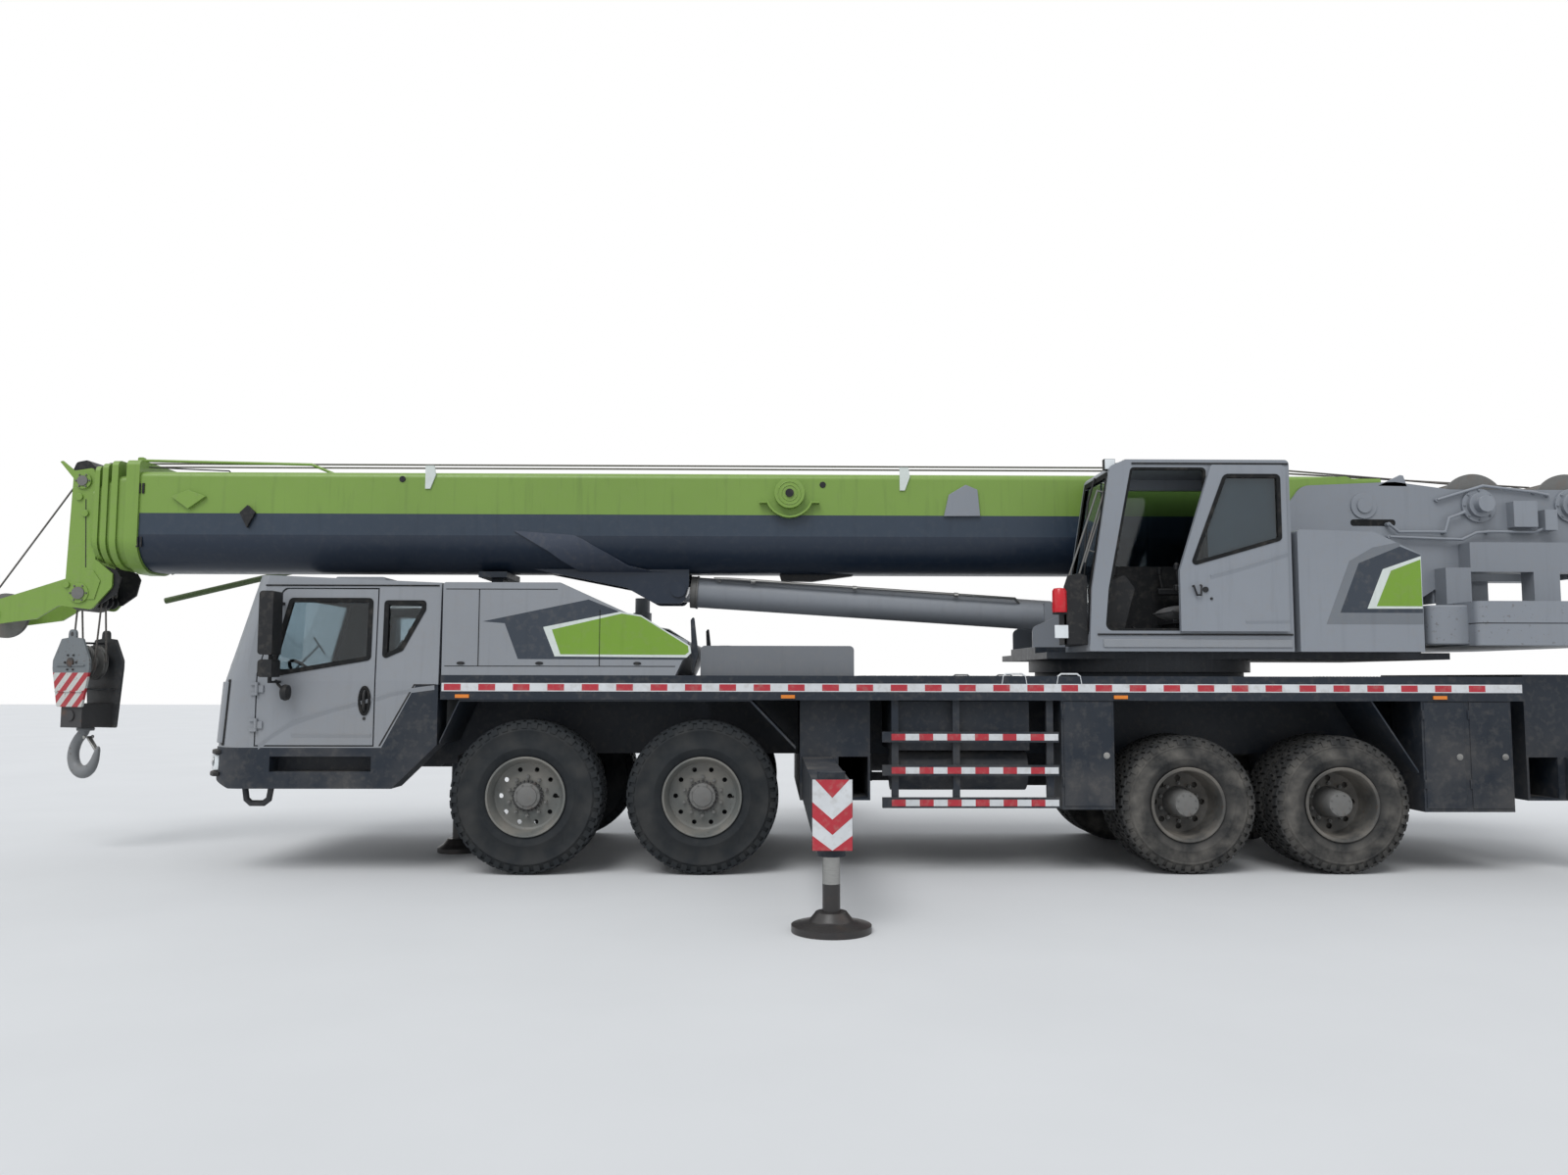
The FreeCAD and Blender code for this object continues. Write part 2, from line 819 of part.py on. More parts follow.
OUTRIGGERS = [
    ("front_left", d.out_front, -1),
    ("front_right", d.out_front + d.out_pitch, 1),
    ("rear_left", d.out_rear, -1),
    ("rear_right", d.out_rear - d.out_pitch, 1),
]
for word, x, side in OUTRIGGERS:
    out_beam(f"beam_{word}", x, side)
    jack(f"jack_{word}", x, side * d.beam_reach, d.jack_rod_top, d.pad_radius)
jack("jack_nose", d.fifth_x, 0, d.fifth_rod_top, 200)


# Carrier cab.


def cab_level(front, half, inset):
    """A plan outline of the cab with rounded front corners, drawn in by an inset."""
    corner = d.cab_corner - inset
    return [
        (front + inset, -(half - inset), corner),
        (d.cab_rear - inset, -(half - inset)),
        (d.cab_rear - inset, half - inset),
        (front + inset, half - inset, corner),
    ]


def cab_form(inset, low, high):
    """The cab's outer form, or one drawn in evenly, between two heights."""
    sink = (d.cab_nose - d.cab_waist_front) / (d.cab_waist - d.cab_low)
    fall = (d.cab_roof_front - d.cab_waist_front) / (d.cab_top - d.cab_waist)
    side = (d.side_face - d.cab_roof_half) / (d.cab_top - d.cab_waist)
    nose = d.cab_waist_front + sink * (d.cab_waist - low)
    lower = leaning_prism(cab_level(nose, d.side_face, inset), low, d.cab_waist, d.cab_waist_front - nose)
    upper = leaning_prism(
        cab_level(d.cab_waist_front, d.side_face, inset), d.cab_waist, high, fall * (high - d.cab_waist)
    )
    half = d.side_face - inset
    head = half - side * (high - d.cab_waist)
    frame = prism(
        "front",
        [[(-half, low), (half, low), (half, d.cab_waist), (head, high), (-head, high), (-half, d.cab_waist)]],
        d.cab_nose - 10,
        d.cab_rear - inset,
    )
    return common(fused(lower, upper), frame)


def door_outline(gap):
    """The carrier cab door's outline, drawn in by a gap."""
    return [
        (d.door_front + gap, d.cab_low + 10 + gap),
        (d.door_front + gap, d.cab_waist + 60),
        (d.door_roof_front + gap, d.door_top - gap, 60),
        (d.door_rear - gap, d.door_top - gap),
        (d.door_rear - gap, d.cab_low + 10 + gap),
    ]


DOOR_WINDOW = [(-2235, 1700, 30), (-2075, 2370, 30), (-1370, 2370, 30), (-1370, 1850, 30)]
QUARTER_WINDOW = [(-1250, 2350, 20), (-910, 2350, 20), (-910, 2280, 20), (-1095, 1930, 20), (-1250, 1860, 20)]
SCREEN = [(-1150, 1740, 60), (1150, 1740, 60), (1080, 2470, 60), (-1080, 2470, 60)]


def roof_unit():
    """The low cooling unit on the cab's roof."""
    outline = [(-2050, 2560), (-2000, 2640, 20), (-1560, 2640, 20), (-1500, 2560)]
    return prism("side", [outline], -520, 520)


HINGE_HEIGHTS = (1250, 1560)


def hinge_lugs(side):
    """The cab's two hinge leaves and pin at each height, outside the door's front edge."""
    x, out = d.hinge_x, d.side_face + d.hinge_out
    pieces = []
    for z in HINGE_HEIGHTS:
        for low, high in ((z - 26, z - 1), (z + 61, z + 86)):
            root = block((d.door_front - 40, d.door_front), span(side, d.side_face - 5, out), (low, high))
            arm = block((d.door_front - 20, x), span(side, d.side_face + d.run_gap, out), (low, high))
            pieces += [root, arm]
            pieces.append(rod("z", (x, side * out, low), high - low, d.hinge_radius))
        pieces.append(rod("z", (x, side * out, z - 26), 112, d.hinge_pin))
    return pieces


def hinge_leaves(side):
    """The door's leaves between the cab's, bored to turn on the pins."""
    x, out = d.hinge_x, d.side_face + d.hinge_out
    pieces = []
    for z in HINGE_HEIGHTS:
        leaf = block((x, x + 55), span(side, d.side_face - 5, out), (z, z + 60))
        eye = rod("z", (x, side * out, z), 60, d.hinge_radius)
        pieces.append(cut(fused(leaf, eye), rod("z", (x, side * out, z - 5), 70, d.hinge_pin + d.spindle_fit)))
    return pieces


def carrier_cab():
    """Shell, doors and glass of the full-width carrier cab, all cut from one lofted form."""
    roof_cut = prism(
        "side",
        [[(-3000, 2700), (-3000, 2610), (d.cab_rear + 50, d.cab_roof_rear - 4), (d.cab_rear + 50, 2700)]],
        -1500,
        1500,
    )
    heel = [(d.heel_front, d.cab_low - 1), (d.heel_front, d.cab_low), (d.heel_rear, d.heel_top),
            (-700, d.heel_top), (-700, d.cab_low - 1)]
    skin = cut(cab_form(0, d.cab_low, d.cab_top), roof_cut, prism("side", [heel], -1500, 1500))
    room = cut(
        cab_form(d.cab_wall, d.cab_low + d.cab_wall, d.cab_top - 130),
        prism("side", [[(d.heel_front - 75, d.cab_low), (d.heel_rear - 75, d.heel_top + 60),
                        (-700, d.heel_top + 60), (-700, d.cab_low)]], -1500, 1500),
    )
    doorways = both(prism("side", [door_outline(0)], 1200, 1500))
    shell = cut(cut(skin, room), *doorways)
    shell = cut(shell, prism("side", [QUARTER_WINDOW], -1500, 1500), prism("front", [SCREEN], -3000, -2200))
    node("cab_shell", fused(shell, roof_unit(), *hinge_lugs(-1), *hinge_lugs(1)))
    wall = cut(cab_form(0, d.cab_low, d.cab_top), cab_form(d.cab_wall, d.cab_low - 100, d.cab_top + 100))
    for side, hand in ((-1, "left"), (1, "right")):
        low, high = span(side, 1200, 1500)
        leaf = common(prism("side", [door_outline(d.door_gap)], low, high), wall)
        leaf = cut(leaf, prism("side", [DOOR_WINDOW], low - 10, high + 10))
        node(f"door_{hand}", fused(leaf, *hinge_leaves(side)))
    pane = cut(cab_form(20, d.cab_low, d.cab_top), cab_form(26, d.cab_low - 100, d.cab_top + 100))
    screen = common(pane, prism("front", [SCREEN], -3000, -2200))
    quarters = [
        common(pane, prism("side", [QUARTER_WINDOW], *span(side, 1200, 1500))) for side in (-1, 1)
    ]
    node("cab_glass", screen, *quarters)


def cab_inside():
    """Two seats, the dashboard and the steering wheel, all seen through the glass."""
    floor = d.cab_low + d.cab_wall
    pieces = []
    for y in (-650, 650):
        seat = prism(
            "side",
            [
                [
                    (-1900, floor),
                    (-1950, floor + 380, 40),
                    (-1450, floor + 340, 60),
                    (-1250, floor + 980, 60),
                    (-1130, floor + 960, 40),
                    (-1330, floor),
                ]
            ],
            y - 250,
            y + 250,
        )
        pieces.append(seat)
    dash = prism(
        "side", [[(-2560, floor), (-2540, 1640, 60), (-2330, 1700, 50), (-2250, 1500, 60), (-2380, floor)]],
        -1150, 1150,
    )
    pieces.append(dash)
    return pieces


def bumper():
    """The dark lower body: bumper, step recess and the panels that run up behind the doors."""
    low, top = d.bumper_low, d.cab_low - d.run_gap
    plan = prism("top", [cab_level(d.cab_nose - 10, d.side_face, 0)], low, 1640)
    profile = prism(
        "side",
        [
            [
                (-2800, 830),
                (-2800, top),
                (d.heel_front + d.run_gap, top),
                (d.heel_rear + d.run_gap, d.heel_top - d.run_gap),
                (d.cab_rear + 10, d.heel_top - d.run_gap),
                (d.cab_rear + 10, 1120),
                (-1150, low),
                (-2560, low),
            ]
        ],
        -1500,
        1500,
    )
    core = block((-2480, -700), (-1100, 1100), (low - 10, 1700))
    step = both(block((-2200, -1330), (-1450, -1200), (880, 1010)))
    lamp_bays = both(block((-2800, -2700), (-1180 - d.run_gap, -860 + d.run_gap), (880 - d.run_gap, 1020 + d.run_gap)))
    node("bumper", cut(common(plan, profile), core, *step, *lamp_bays))


carrier_cab()
node("cab_inside", *cab_inside())
bumper()


def lamps():
    """Headlamps, marker lamps along the valance and the tail lamps."""
    pieces = []
    pieces += both(block((-2790, -2700 - d.run_gap), (-1180, -860), (880, 1020)))
    for x in (-620, 2200, 5100, 7900):
        pieces += both(block((x, x + 120), (-1402, -1390.3), (1515, 1545)))
    pieces += both(block((9640.3, 9680), (-1150, -850), (1250, 1400)))
    return pieces


def flank(z):
    """How far out the cab's side stands at a height above its waist."""
    return d.side_face - (d.side_face - d.cab_roof_half) * ((z - d.cab_waist) / (d.cab_top - d.cab_waist))


def mirror(side):
    """Two dark mirrors, one above the other, on a bent arm from the door's front edge."""
    x, low, high = d.mirror_x, d.mirror_low, d.mirror_top
    arms = [
        block((x, x + 25), span(side, d.side_face, 1600), (low, low + 20)),
        block((x, x + 25), span(side, flank(high - 25), 1600), (high - 25, high)),
    ]
    post = block((x, x + 25), span(side, 1575, 1600), (low, high))
    heads = []
    for z0, z1, inner, outer in ((low + 50, low + 200, 1500, 1670), (low + 240, high + 80, 1490, 1680)):
        heads.append(prism("side", [[(x - 60, z0, 30), (x - 60, z1, 30), (x + 60, z1, 15), (x + 60, z0, 15)]],
                           *span(side, inner, outer)))
    return fused(*arms, post, *heads)


node("lamps", *lamps())
for side, hand in ((-1, "left"), (1, "right")):
    node(f"mirrors_{hand}", mirror(side))


# Engine hood and what stands on the deck.


def hood_outline(inset):
    return [
        (d.hood_front + inset, d.hood_low - (1 if inset else 0)),
        (d.hood_front + inset, d.hood_top - inset, 25),
        (d.hood_break, d.hood_top - inset, 60),
        (d.hood_rear - inset, d.hood_rear_top - inset, 15),
        (d.hood_rear - 40 - inset, 1860),
        (d.hood_rear - 110 - inset, d.hood_low - (1 if inset else 0)),
    ]


def hood():
    skin = prism("side", [hood_outline(0)], -d.side_face, d.side_face)
    inner = prism("side", [hood_outline(d.hood_wall)], -d.side_face + d.hood_wall, d.side_face - d.hood_wall)
    post = block((-650, -520), (-110, 110), (2400, 2600))
    pipe = rod("z", (d.pipe_x, d.pipe_y, 2100), 600, d.pipe_radius + 20 + d.run_gap)
    node("engine_hood", cut(skin, inner, post, pipe))


def engine():
    node("engine_block", block((-400, 1100), (-d.rail_inner + d.run_gap, d.rail_inner - d.run_gap), (d.frame_low + 20, 2050)))


def intake():
    """An upright pipe behind the hood with a bend at its foot."""
    lower = rod("z", (d.pipe_x, d.pipe_y, 2330), d.pipe_top - 2330, d.pipe_radius)
    foot = rod("z", (d.pipe_x, d.pipe_y, 2200), 200, d.pipe_radius + 20)
    return fused(lower, foot)


def deck_gear():
    """The oil tank behind the hood, two upright fins before it and the grab loops."""
    tank = prism("side", [[(1490, d.deck_top), (1490, 1975, 40), (2846, 1975, 40), (2846, d.deck_top)]],
                 -1250, 1250)
    fins = both(
        prism("side", [[(1420, d.deck_top), (1400, 2200), (1430, 2240, 10), (1470, 1900)]], -1250, -1200)
    )
    return [tank] + fins


def boom_rest():
    """The post that carries the boom on the road, with its flat head."""
    post = block((-640, -530), (-100, 100), (d.frame_top, 2660))
    head = block((-720, -450), (-300, 300), (2660, d.boom_low - d.run_gap))
    node("boom_rest", fused(post, head))


hood()
engine()
node("deck_gear", *deck_gear(), intake())
boom_rest()


# Upper structure.


def side_plate_outline():
    return [
        (4615, d.base_top - 10),
        (4615, 2180, 60),
        (5400, 2520, 200),
        (6500, 2560, 300),
        (7250, 3560, 150),
        (8160, 3600, 60),
        (8700, d.frame_high),
        (d.rear_end, d.frame_high),
        (d.rear_end, d.beam_rear_low),
        (8750, d.beam_rear_low, 60),
        (d.weight_front - 20, 2430, 60),
        (d.weight_front - 20, d.base_top - 10),
    ]


def turntable():
    """The slewing base ring and plate, two side plates with the boom foot's pin, and the tail frame."""
    ring = cut(
        rod("z", (d.slew_x, 0, d.seat_ring_top + d.run_gap), d.base_low - d.seat_ring_top - d.run_gap, d.ring_radius),
        rod("z", (d.slew_x, 0, d.deck_top), 300, d.ring_radius - 250),
    )
    wings = block((4615, 8300), (-1000, 1000), (d.base_low - d.plate_thick, d.base_low))
    floor = block((4615, 8300), (-540, 540), (d.base_low - 1, d.base_top))
    plates = both(prism("side", [side_plate_outline()], d.side_in, d.side_in + d.side_wall))
    pin = rod("y", (d.foot_x, -d.side_in - 60, d.foot_z), (d.side_in + 60) * 2, d.foot_pin - d.luff_fit)
    luff_pin = rod("y", (d.luff_x, -d.side_in - 10, d.luff_z), (d.side_in + 10) * 2, d.luff_pin - d.luff_fit)
    cross = [
        block((8500, 8540), (-d.side_in, d.side_in), (d.weight_top + 40, 2700)),
        block((d.rear_end - 40, d.rear_end), (-d.side_in, d.side_in), (d.beam_rear_low, 3300)),
    ]
    tail = both(block((8750, d.rear_end), (600 - 150, 640), (d.beam_rear_low, d.beam_rear_top)))
    posts = both(
        fused(
            block((8510, 8750), (455, 640), (d.weight_top, d.beam_rear_low + 40)),
            block((9350, 9600), (455, 640), (d.weight_top, d.beam_rear_low)),
        )
    )
    collar = both(
        rod("y", (d.luff_x, 200, d.luff_z), d.side_in - 200 + 5, 130)
    )
    node("turntable", fused(ring, wings, floor, *plates, pin, luff_pin, *cross, *tail, *posts, *collar))


def drums():
    """Two winch drums between the side plates, each with its flanges and shaft."""
    pieces = []
    for x in (d.drum_one, d.drum_two):
        outline = [
            (-400, 0),
            (-400, d.drum_flange),
            (-375, d.drum_flange),
            (-375, d.drum_core),
            (375, d.drum_core),
            (375, d.drum_flange),
            (400, d.drum_flange),
            (400, 0),
        ]
        pieces.append(fused(turned(outline, x, d.drum_z), rod("y", (x, -d.side_in, d.drum_z), d.side_in * 2, 70)))
    return pieces


def counterweight():
    """Two wide slabs hung from the tail frame and a lower block ahead of them."""
    plan = [
        (d.weight_front, -1390, 60),
        (d.weight_rear - 250, -1390),
        (d.weight_rear, -1000),
        (d.weight_rear, 1000),
        (d.weight_rear - 250, 1390),
        (d.weight_front, 1390, 60),
    ]
    slabs = [
        prism("top", [plan], d.weight_low, d.weight_mid - 4),
        prism("top", [plan], d.weight_mid + 4, d.weight_top),
    ]
    step = block((d.weight_front + 60, d.weight_rear - 60), (-900, 900), (d.weight_mid - 10, d.weight_mid + 10))
    return fused(*slabs, step)


def cover_box():
    """The plant cover behind the operator's cab."""
    outline = [
        (6756, d.base_low + d.run_gap),
        (6756, 3010, 30),
        (7440, 2990, 60),
        (7850, 2790),
        (7850, d.base_low + d.run_gap),
    ]
    return prism("side", [outline], -1390, -640)


turntable()
node("winch_drums", *drums())
node("counterweight", counterweight())
node("cover_box", fused(cover_box(), block((6800, 7800), (-660, -d.side_in - d.side_wall), (2050, 2450))))


# Operator's cab.


def seat_outline(inset):
    """The operator's cab in side view."""
    return [
        (d.seat_front - 20 + inset, SEAT_LOW + inset),
        (d.seat_front + 10 + inset, 2480, 300),
        (d.seat_front + 190 + inset, d.seat_top - 60, 60),
        (d.seat_front + 330, d.seat_top - inset),
        (d.seat_rear - inset, d.seat_top - inset, 40),
        (d.seat_rear - inset, SEAT_LOW + inset),
    ]


ENTRY = [(5040, 2110, 60), (5075, 2480, 250), (5290, 3560, 40), (5960, 3560, 40), (5960, 2110, 30)]
SEAT_LOW = d.base_low + d.cab_seat
SLIDE = [(5690, 2105), (5690, 2640, 30), (5990, 3575, 20), (6645, 3575, 40), (6645, 2105)]
SLIDE_WINDOW = [(5800, 2690, 20), (6106, 3480, 50), (6583, 3480, 30), (6583, 2916, 30)]
SIDE_WINDOW = [(5060, 2300, 30), (5290, 3480, 60), (6500, 3480, 60), (6500, 2700, 30), (5700, 2400, 30)]


def operator_cab():
    """Shell with its open doorway, glass in front, above and on the boom's side."""
    wall = d.seat_wall
    left, right = -d.side_face, -d.seat_in
    skin = prism("side", [seat_outline(0)], left, right)
    inner = prism("side", [seat_outline(wall)], left + wall, right - wall)
    screen = prism("front", [[(left + 90, 2120, 30), (right - 90, 2120, 30), (right - 90, 3500, 30),
                              (left + 90, 3500, 30)]], 4700, 5200)
    entry = prism("side", [ENTRY], left - 50, left + wall + 50)
    far = prism("side", [SIDE_WINDOW], right - wall - 50, right + 50)
    node("operator_cab", cut(skin, inner, screen, entry, far))
    pane = cut(prism("side", [seat_outline(15)], left + 70, right - 70),
               prism("side", [seat_outline(21)], left + 60, right - 60))
    front = common(pane, prism("front", [[(left + 90, 2120, 30), (right - 90, 2120, 30), (right - 90, 3500, 30),
                                          (left + 90, 3500, 30)]], 4700, 5200))
    side = prism("side", [SIDE_WINDOW], right - 30, right - 24)
    node("operator_glass", front, side)


def operator_inside():
    """The operator's seat and console."""
    floor = SEAT_LOW + d.seat_wall
    seat = prism(
        "side",
        [
            [
                (5750, floor),
                (5700, floor + 380, 40),
                (6150, floor + 360, 60),
                (6300, floor + 1050, 60),
                (6420, floor + 1030, 40),
                (6300, floor),
            ]
        ],
        -1230,
        -720,
    )
    console = prism(
        "side", [[(5080, floor), (5130, 2560, 40), (5300, 2640, 40), (5400, 2500, 40), (5250, floor)]], -1150, -760
    )
    return [seat, console]


def slide_door():
    """The sliding door, run back to its open stop, with its window cut."""
    low = -d.side_face - d.slide_thick - d.part_gap
    leaf = prism("side", [SLIDE, SLIDE_WINDOW], low, low + d.slide_thick)
    shoes = [
        block((x, x + 60), (low + d.slide_thick - 5, -d.side_face - d.run_gap), (z, z + 30))
        for x in (6150, 6500)
        for z in (3540, 2115)
    ]
    return fused(leaf, *shoes)


operator_cab()
node("operator_inside", *operator_inside())
node("operator_door", slide_door())


# Boom.


def boom_outline(level, inset):
    """The boom's U-shaped section for a nest level, 0 outside."""
    shift = level * d.nest_gap + inset
    half = d.boom_half - shift
    low, top = d.boom_low + shift, d.boom_top - shift
    return [
        (-half, low, d.boom_round - shift),
        (half, low, d.boom_round - shift),
        (half, top, 60 - inset),
        (-half, top, 60 - inset),
    ]


def collar_outline(level, proud):
    """A collar's outer edge: tall on top, and only a little proud below and at the sides."""
    shift = level * d.nest_gap
    half = d.boom_half - shift + d.collar_proud
    low, top = d.boom_low + shift - d.collar_proud, d.boom_top - shift + proud
    return [
        (-half, low, d.boom_round - shift),
        (half, low, d.boom_round - shift),
        (half, top, 60),
        (-half, top, 60),
    ]


BOOM_SECTIONS = [
    # word, front of the tube, rear of the tube, collar's front, collar's length, its rise above the tube
    ("base", -3975, 8060, -4090, 125, 110),
    ("two", -4200, 7450, -4250, 60, 147),
    ("three", -4310, 7400, -4360, 55, 164),
    ("four", -4410, 7350, -4452, 45, 181),
    ("head", -4500, 7300, -4500, 40, 0),
]


def boom_section(level, word, front, rear, collar_front, collar_length, proud):
    skin = d.boom_skin
    tube = [prism("front", [boom_outline(level, 0), boom_outline(level, skin)], front, rear)]
    if proud:
        tube.append(
            prism(
                "front",
                [collar_outline(level, proud), boom_outline(level, skin)],
                collar_front,
                collar_front + collar_length,
            )
        )
    return tube


def slide_pads(level, front):
    """Pads inside a section's front end that the next section slides on."""
    skin = d.boom_skin
    gap = d.nest_gap - skin
    shift = level * d.nest_gap
    low = d.boom_low + shift
    top = d.boom_top - shift
    pads = [
        block((front, front + 120), (-60, 60), (low + skin - 2, low + skin + gap - d.run_gap)),
        block((front, front + 120), (-200, -80), (top - skin - gap + d.run_gap, top - skin + 2)),
        block((front, front + 120), (80, 200), (top - skin - gap + d.run_gap, top - skin + 2)),
    ]
    return pads


def boom_base_extras():
    """The foot's boss plates and the bracket that the luffing cylinder lifts."""
    foot = [
        prism(
            "side",
            [
                [
                    (6900, 2760),
                    (6900, 3600),
                    (7700, 3660, 60),
                    (8110, 3500, 120),
                    (8110, 3180, 120),
                    (7500, 2740),
                ]
            ],
            low,
            high,
        )
        for low, high in ((-420, -385), (385, 420))
    ]
    bracket = [
        prism(
            "side",
            [
                [
                    (-210, d.boom_low + 33),
                    (700, 2570),
                    (980, d.eye_z - 135, 100),
                    (1257, d.eye_z - 135, 60),
                    (1310, 2600, 40),
                    (1310, d.boom_low + 33),
                ]
            ],
            low,
            high,
        )
        for low, high in ((-215, -185), (185, 215))
    ]
    bosses = both(rod("y", (d.eye_x, 210, d.eye_z), 25, 75))
    return foot, bracket + bosses


def boom():
    for level, row in enumerate(BOOM_SECTIONS):
        word, front, rear, collar_front, collar_length, proud = row
        pieces = boom_section(level, *row)
        if level < 4:
            pieces += slide_pads(level, collar_front + 2)
        if word == "base":
            foot, bracket = boom_base_extras()
            end = prism("front", [boom_outline(0, 0)], 7600, 7640)
            whole = fused(*pieces, *foot, *bracket, end)
            bore = rod("y", (d.foot_x, -500, d.foot_z), 1000, d.foot_pin)
            clear = block((7640, 8200), (-380, 380), (2600, 3800))
            trim = prism("side", [[(7900, 2600), (8200, 3000), (8200, 2600)], ], -500, 500)
            node("boom_base", cut(whole, bore, clear, trim))
        elif word == "head":
            node("boom_head", fused(*pieces, *boom_head()))
        else:
            node(f"boom_{word}", fused(*pieces))


def boom_head():
    """The head's two side plates with the auxiliary arm reaching forward."""
    plate = [
        (d.head_rear, 3560),
        (-4520, d.head_top, 30),
        (d.head_front + 30, 3700, 30),
        (d.head_front, 2640),
        (-5120, 2517),
        (-5560, 2380, 120),
        (-5520, 2180, 60),
        (-5000, 2250),
        (-4790, 2380, 60),
        (-4480, 2340, 60),
        (-4290, 2560, 60),
        (-4290, 2690),
        (-4420, 2800, 30),
        (d.head_rear, 2830),
    ]
    sides = both(prism("side", [plate], d.head_half - 25, d.head_half))
    box = prism("front", [boom_outline(4, 0)], -4500, -4470)
    top = block((-4660, -4480), (-d.head_half, d.head_half), (3400, 3440))
    pin = rod("y", (d.head_pin_x, -d.head_half + 5, d.head_pin_z), (d.head_half - 5) * 2, 40)
    tip = rod("y", (d.nose_x, -d.head_half + 5, d.nose_z), (d.head_half - 5) * 2, 30)
    upper = rod("y", (-4610, -d.head_half + 5, 3600), (d.head_half - 5) * 2, 40)
    return [*sides, box, top, pin, tip, upper]


def sheave(x, y, z, radius, bore):
    """A grooved rope sheave on a crossways pin."""
    half = 22
    outline = [
        (-half, bore),
        (-half, radius),
        (-half + 8, radius),
        (0, radius - 20, 8),
        (half - 8, radius),
        (half, radius),
        (half, bore),
    ]
    return turned(outline, x, z, y)


def head_sheaves():
    pieces = [sheave(d.head_pin_x, y, d.head_pin_z, d.head_sheave, 40.3) for y in (-120, -60, 60, 120)]
    pieces += [sheave(-4610, y, 3600, 105, 40.3) for y in (-90, 90)]
    pieces.append(sheave(d.nose_x, 0, d.nose_z, d.nose_sheave, 30.3))
    return pieces


boom()
node("head_sheaves", *head_sheaves())


# Luffing cylinder.


def cylinder_z(x):
    """The height of the luffing cylinder's centre line at x."""
    return d.eye_z + (d.luff_z - d.eye_z) * ((x - d.eye_x) / (d.luff_x - d.eye_x))


def barrel():
    """The barrel, with its foot lug on the turntable's pin."""
    tube = leaning_rod((d.barrel_front, cylinder_z(d.barrel_front)), (4890, cylinder_z(4890)), d.barrel_radius)
    bore = leaning_rod((d.eye_x, d.eye_z), (4985, cylinder_z(4985)), d.luff_rod + d.luff_fit)
    lug = block((4800, d.luff_x + 10), (-190, 190), (d.luff_z - 110, d.luff_z + 130))
    boss = rod("y", (d.luff_x, -190, d.luff_z), 380, 125)
    hole = rod("y", (d.luff_x, -300, d.luff_z), 600, d.luff_pin)
    node("luff_barrel", cut(fused(tube, lug, boss), bore, hole))


def luff_rod():
    """The cylinder's rod, with its eye between the bracket's ears."""
    shaft = leaning_rod((d.eye_x + 20, cylinder_z(d.eye_x + 20)), (4960, cylinder_z(4960)), d.luff_rod)
    eye = rod("y", (d.eye_x, -175, d.eye_z), 350, d.eye_radius)
    hole = rod("y", (d.eye_x, -300, d.eye_z), 600, 55)
    node("luff_rod", cut(fused(shaft, eye), hole))


barrel()
luff_rod()


# Stowed lattice jib on the boom's right side.


def jib():
    """Four chords with lacing, hung along the base section by two brackets."""
    chords = [
        ((-4650, 2790), (-2850, 2900), 520, 32),
        ((-4350, 2500), (-2850, 2860), 900, 32),
    ]
    pieces = []
    for start, end, y, radius in chords:
        pieces.append(leaning_rod(start, end, radius, y))
        pieces.append(rod("x", (-2860, y, end[1]), 7400, radius))
    for y in (520, 900):
        pieces.append(rod("x", (-2900, y, 3400), 7440, 32))
    for i in range(9):
        x = -2700 + i * 850
        for y in (520, 900):
            pieces.append(leaning_rod((x, 2880), (x + 425, 3400), 20, y))
            pieces.append(leaning_rod((x + 850, 2880), (x + 425, 3400), 20, y))
        pieces.append(rod("y", (x + 425, 520, 3400), 380, 20))
        pieces.append(rod("y", (x, 520, 2880), 380, 20))
    for y in (520, 900):
        pieces.append(leaning_rod((-4300, 2800), (-2860, 3400), 24, y))
    hangers = [block((x, x + 80), (d.boom_half, 540), (3360, 3440)) for x in (-2000, 3000)]
    return fused(*pieces, *hangers)


node("jib", jib())


# Hook block.


def hook_block():
    """Two cheek plates round the sheaves, hung on the rope's falls."""
    x, z = d.head_pin_x, d.block_top - 260
    cheek = [
        (x - d.block_wide / 2, d.block_low, 60),
        (x - d.block_wide / 2, d.block_top, 90),
        (x + d.block_wide / 2, d.block_top, 90),
        (x + d.block_wide / 2, d.block_low, 60),
    ]
    cheeks = both(prism("side", [cheek], d.block_half - 25, d.block_half))
    pin = rod("y", (x, -d.block_half + 5, z), (d.block_half - 5) * 2, 40)
    cross = block((x - 120, x + 120), (-d.block_half + 5, d.block_half - 5), (d.block_low + 20, d.block_low + 160))
    wheels = [sheave(x, y, z, d.head_sheave, 38) for y in (-60, 60)]
    falls = []
    for side in (-1, 1):
        for y in (-60, 60):
            falls.append(
                rod("z", (x + side * (d.head_sheave - d.rope_seat), y, z), d.head_pin_z - z, d.rope)
            )
    hole = rod("z", (x, 0, d.block_low), 300, 42.3)
    node("hook_block", cut(fused(*cheeks, pin, cross, *wheels, *falls), hole))


def hook():
    """A single forged hook on its shank."""
    x = d.head_pin_x
    shank = rod("z", (x, 0, 1150), 300, 42)
    body = prism(
        "side",
        [
            [
                (x - 45, 1200),
                (x - 45, 1060, 30),
                (x - 200, 960, 90),
                (x - 200, d.hook_low, 150),
                (x + 180, d.hook_low, 150),
                (x + 180, 900, 40),
                (x + 90, 900, 40),
                (x + 60, 800, 60),
                (x - 90, 800, 60),
                (x - 90, 960, 60),
                (x + 45, 1060, 30),
                (x + 45, 1200),
            ]
        ],
        -45,
        45,
    )
    node("hook", fused(shank, body))


hook_block()
hook()


# Check every object, then write each sub-part's own file.

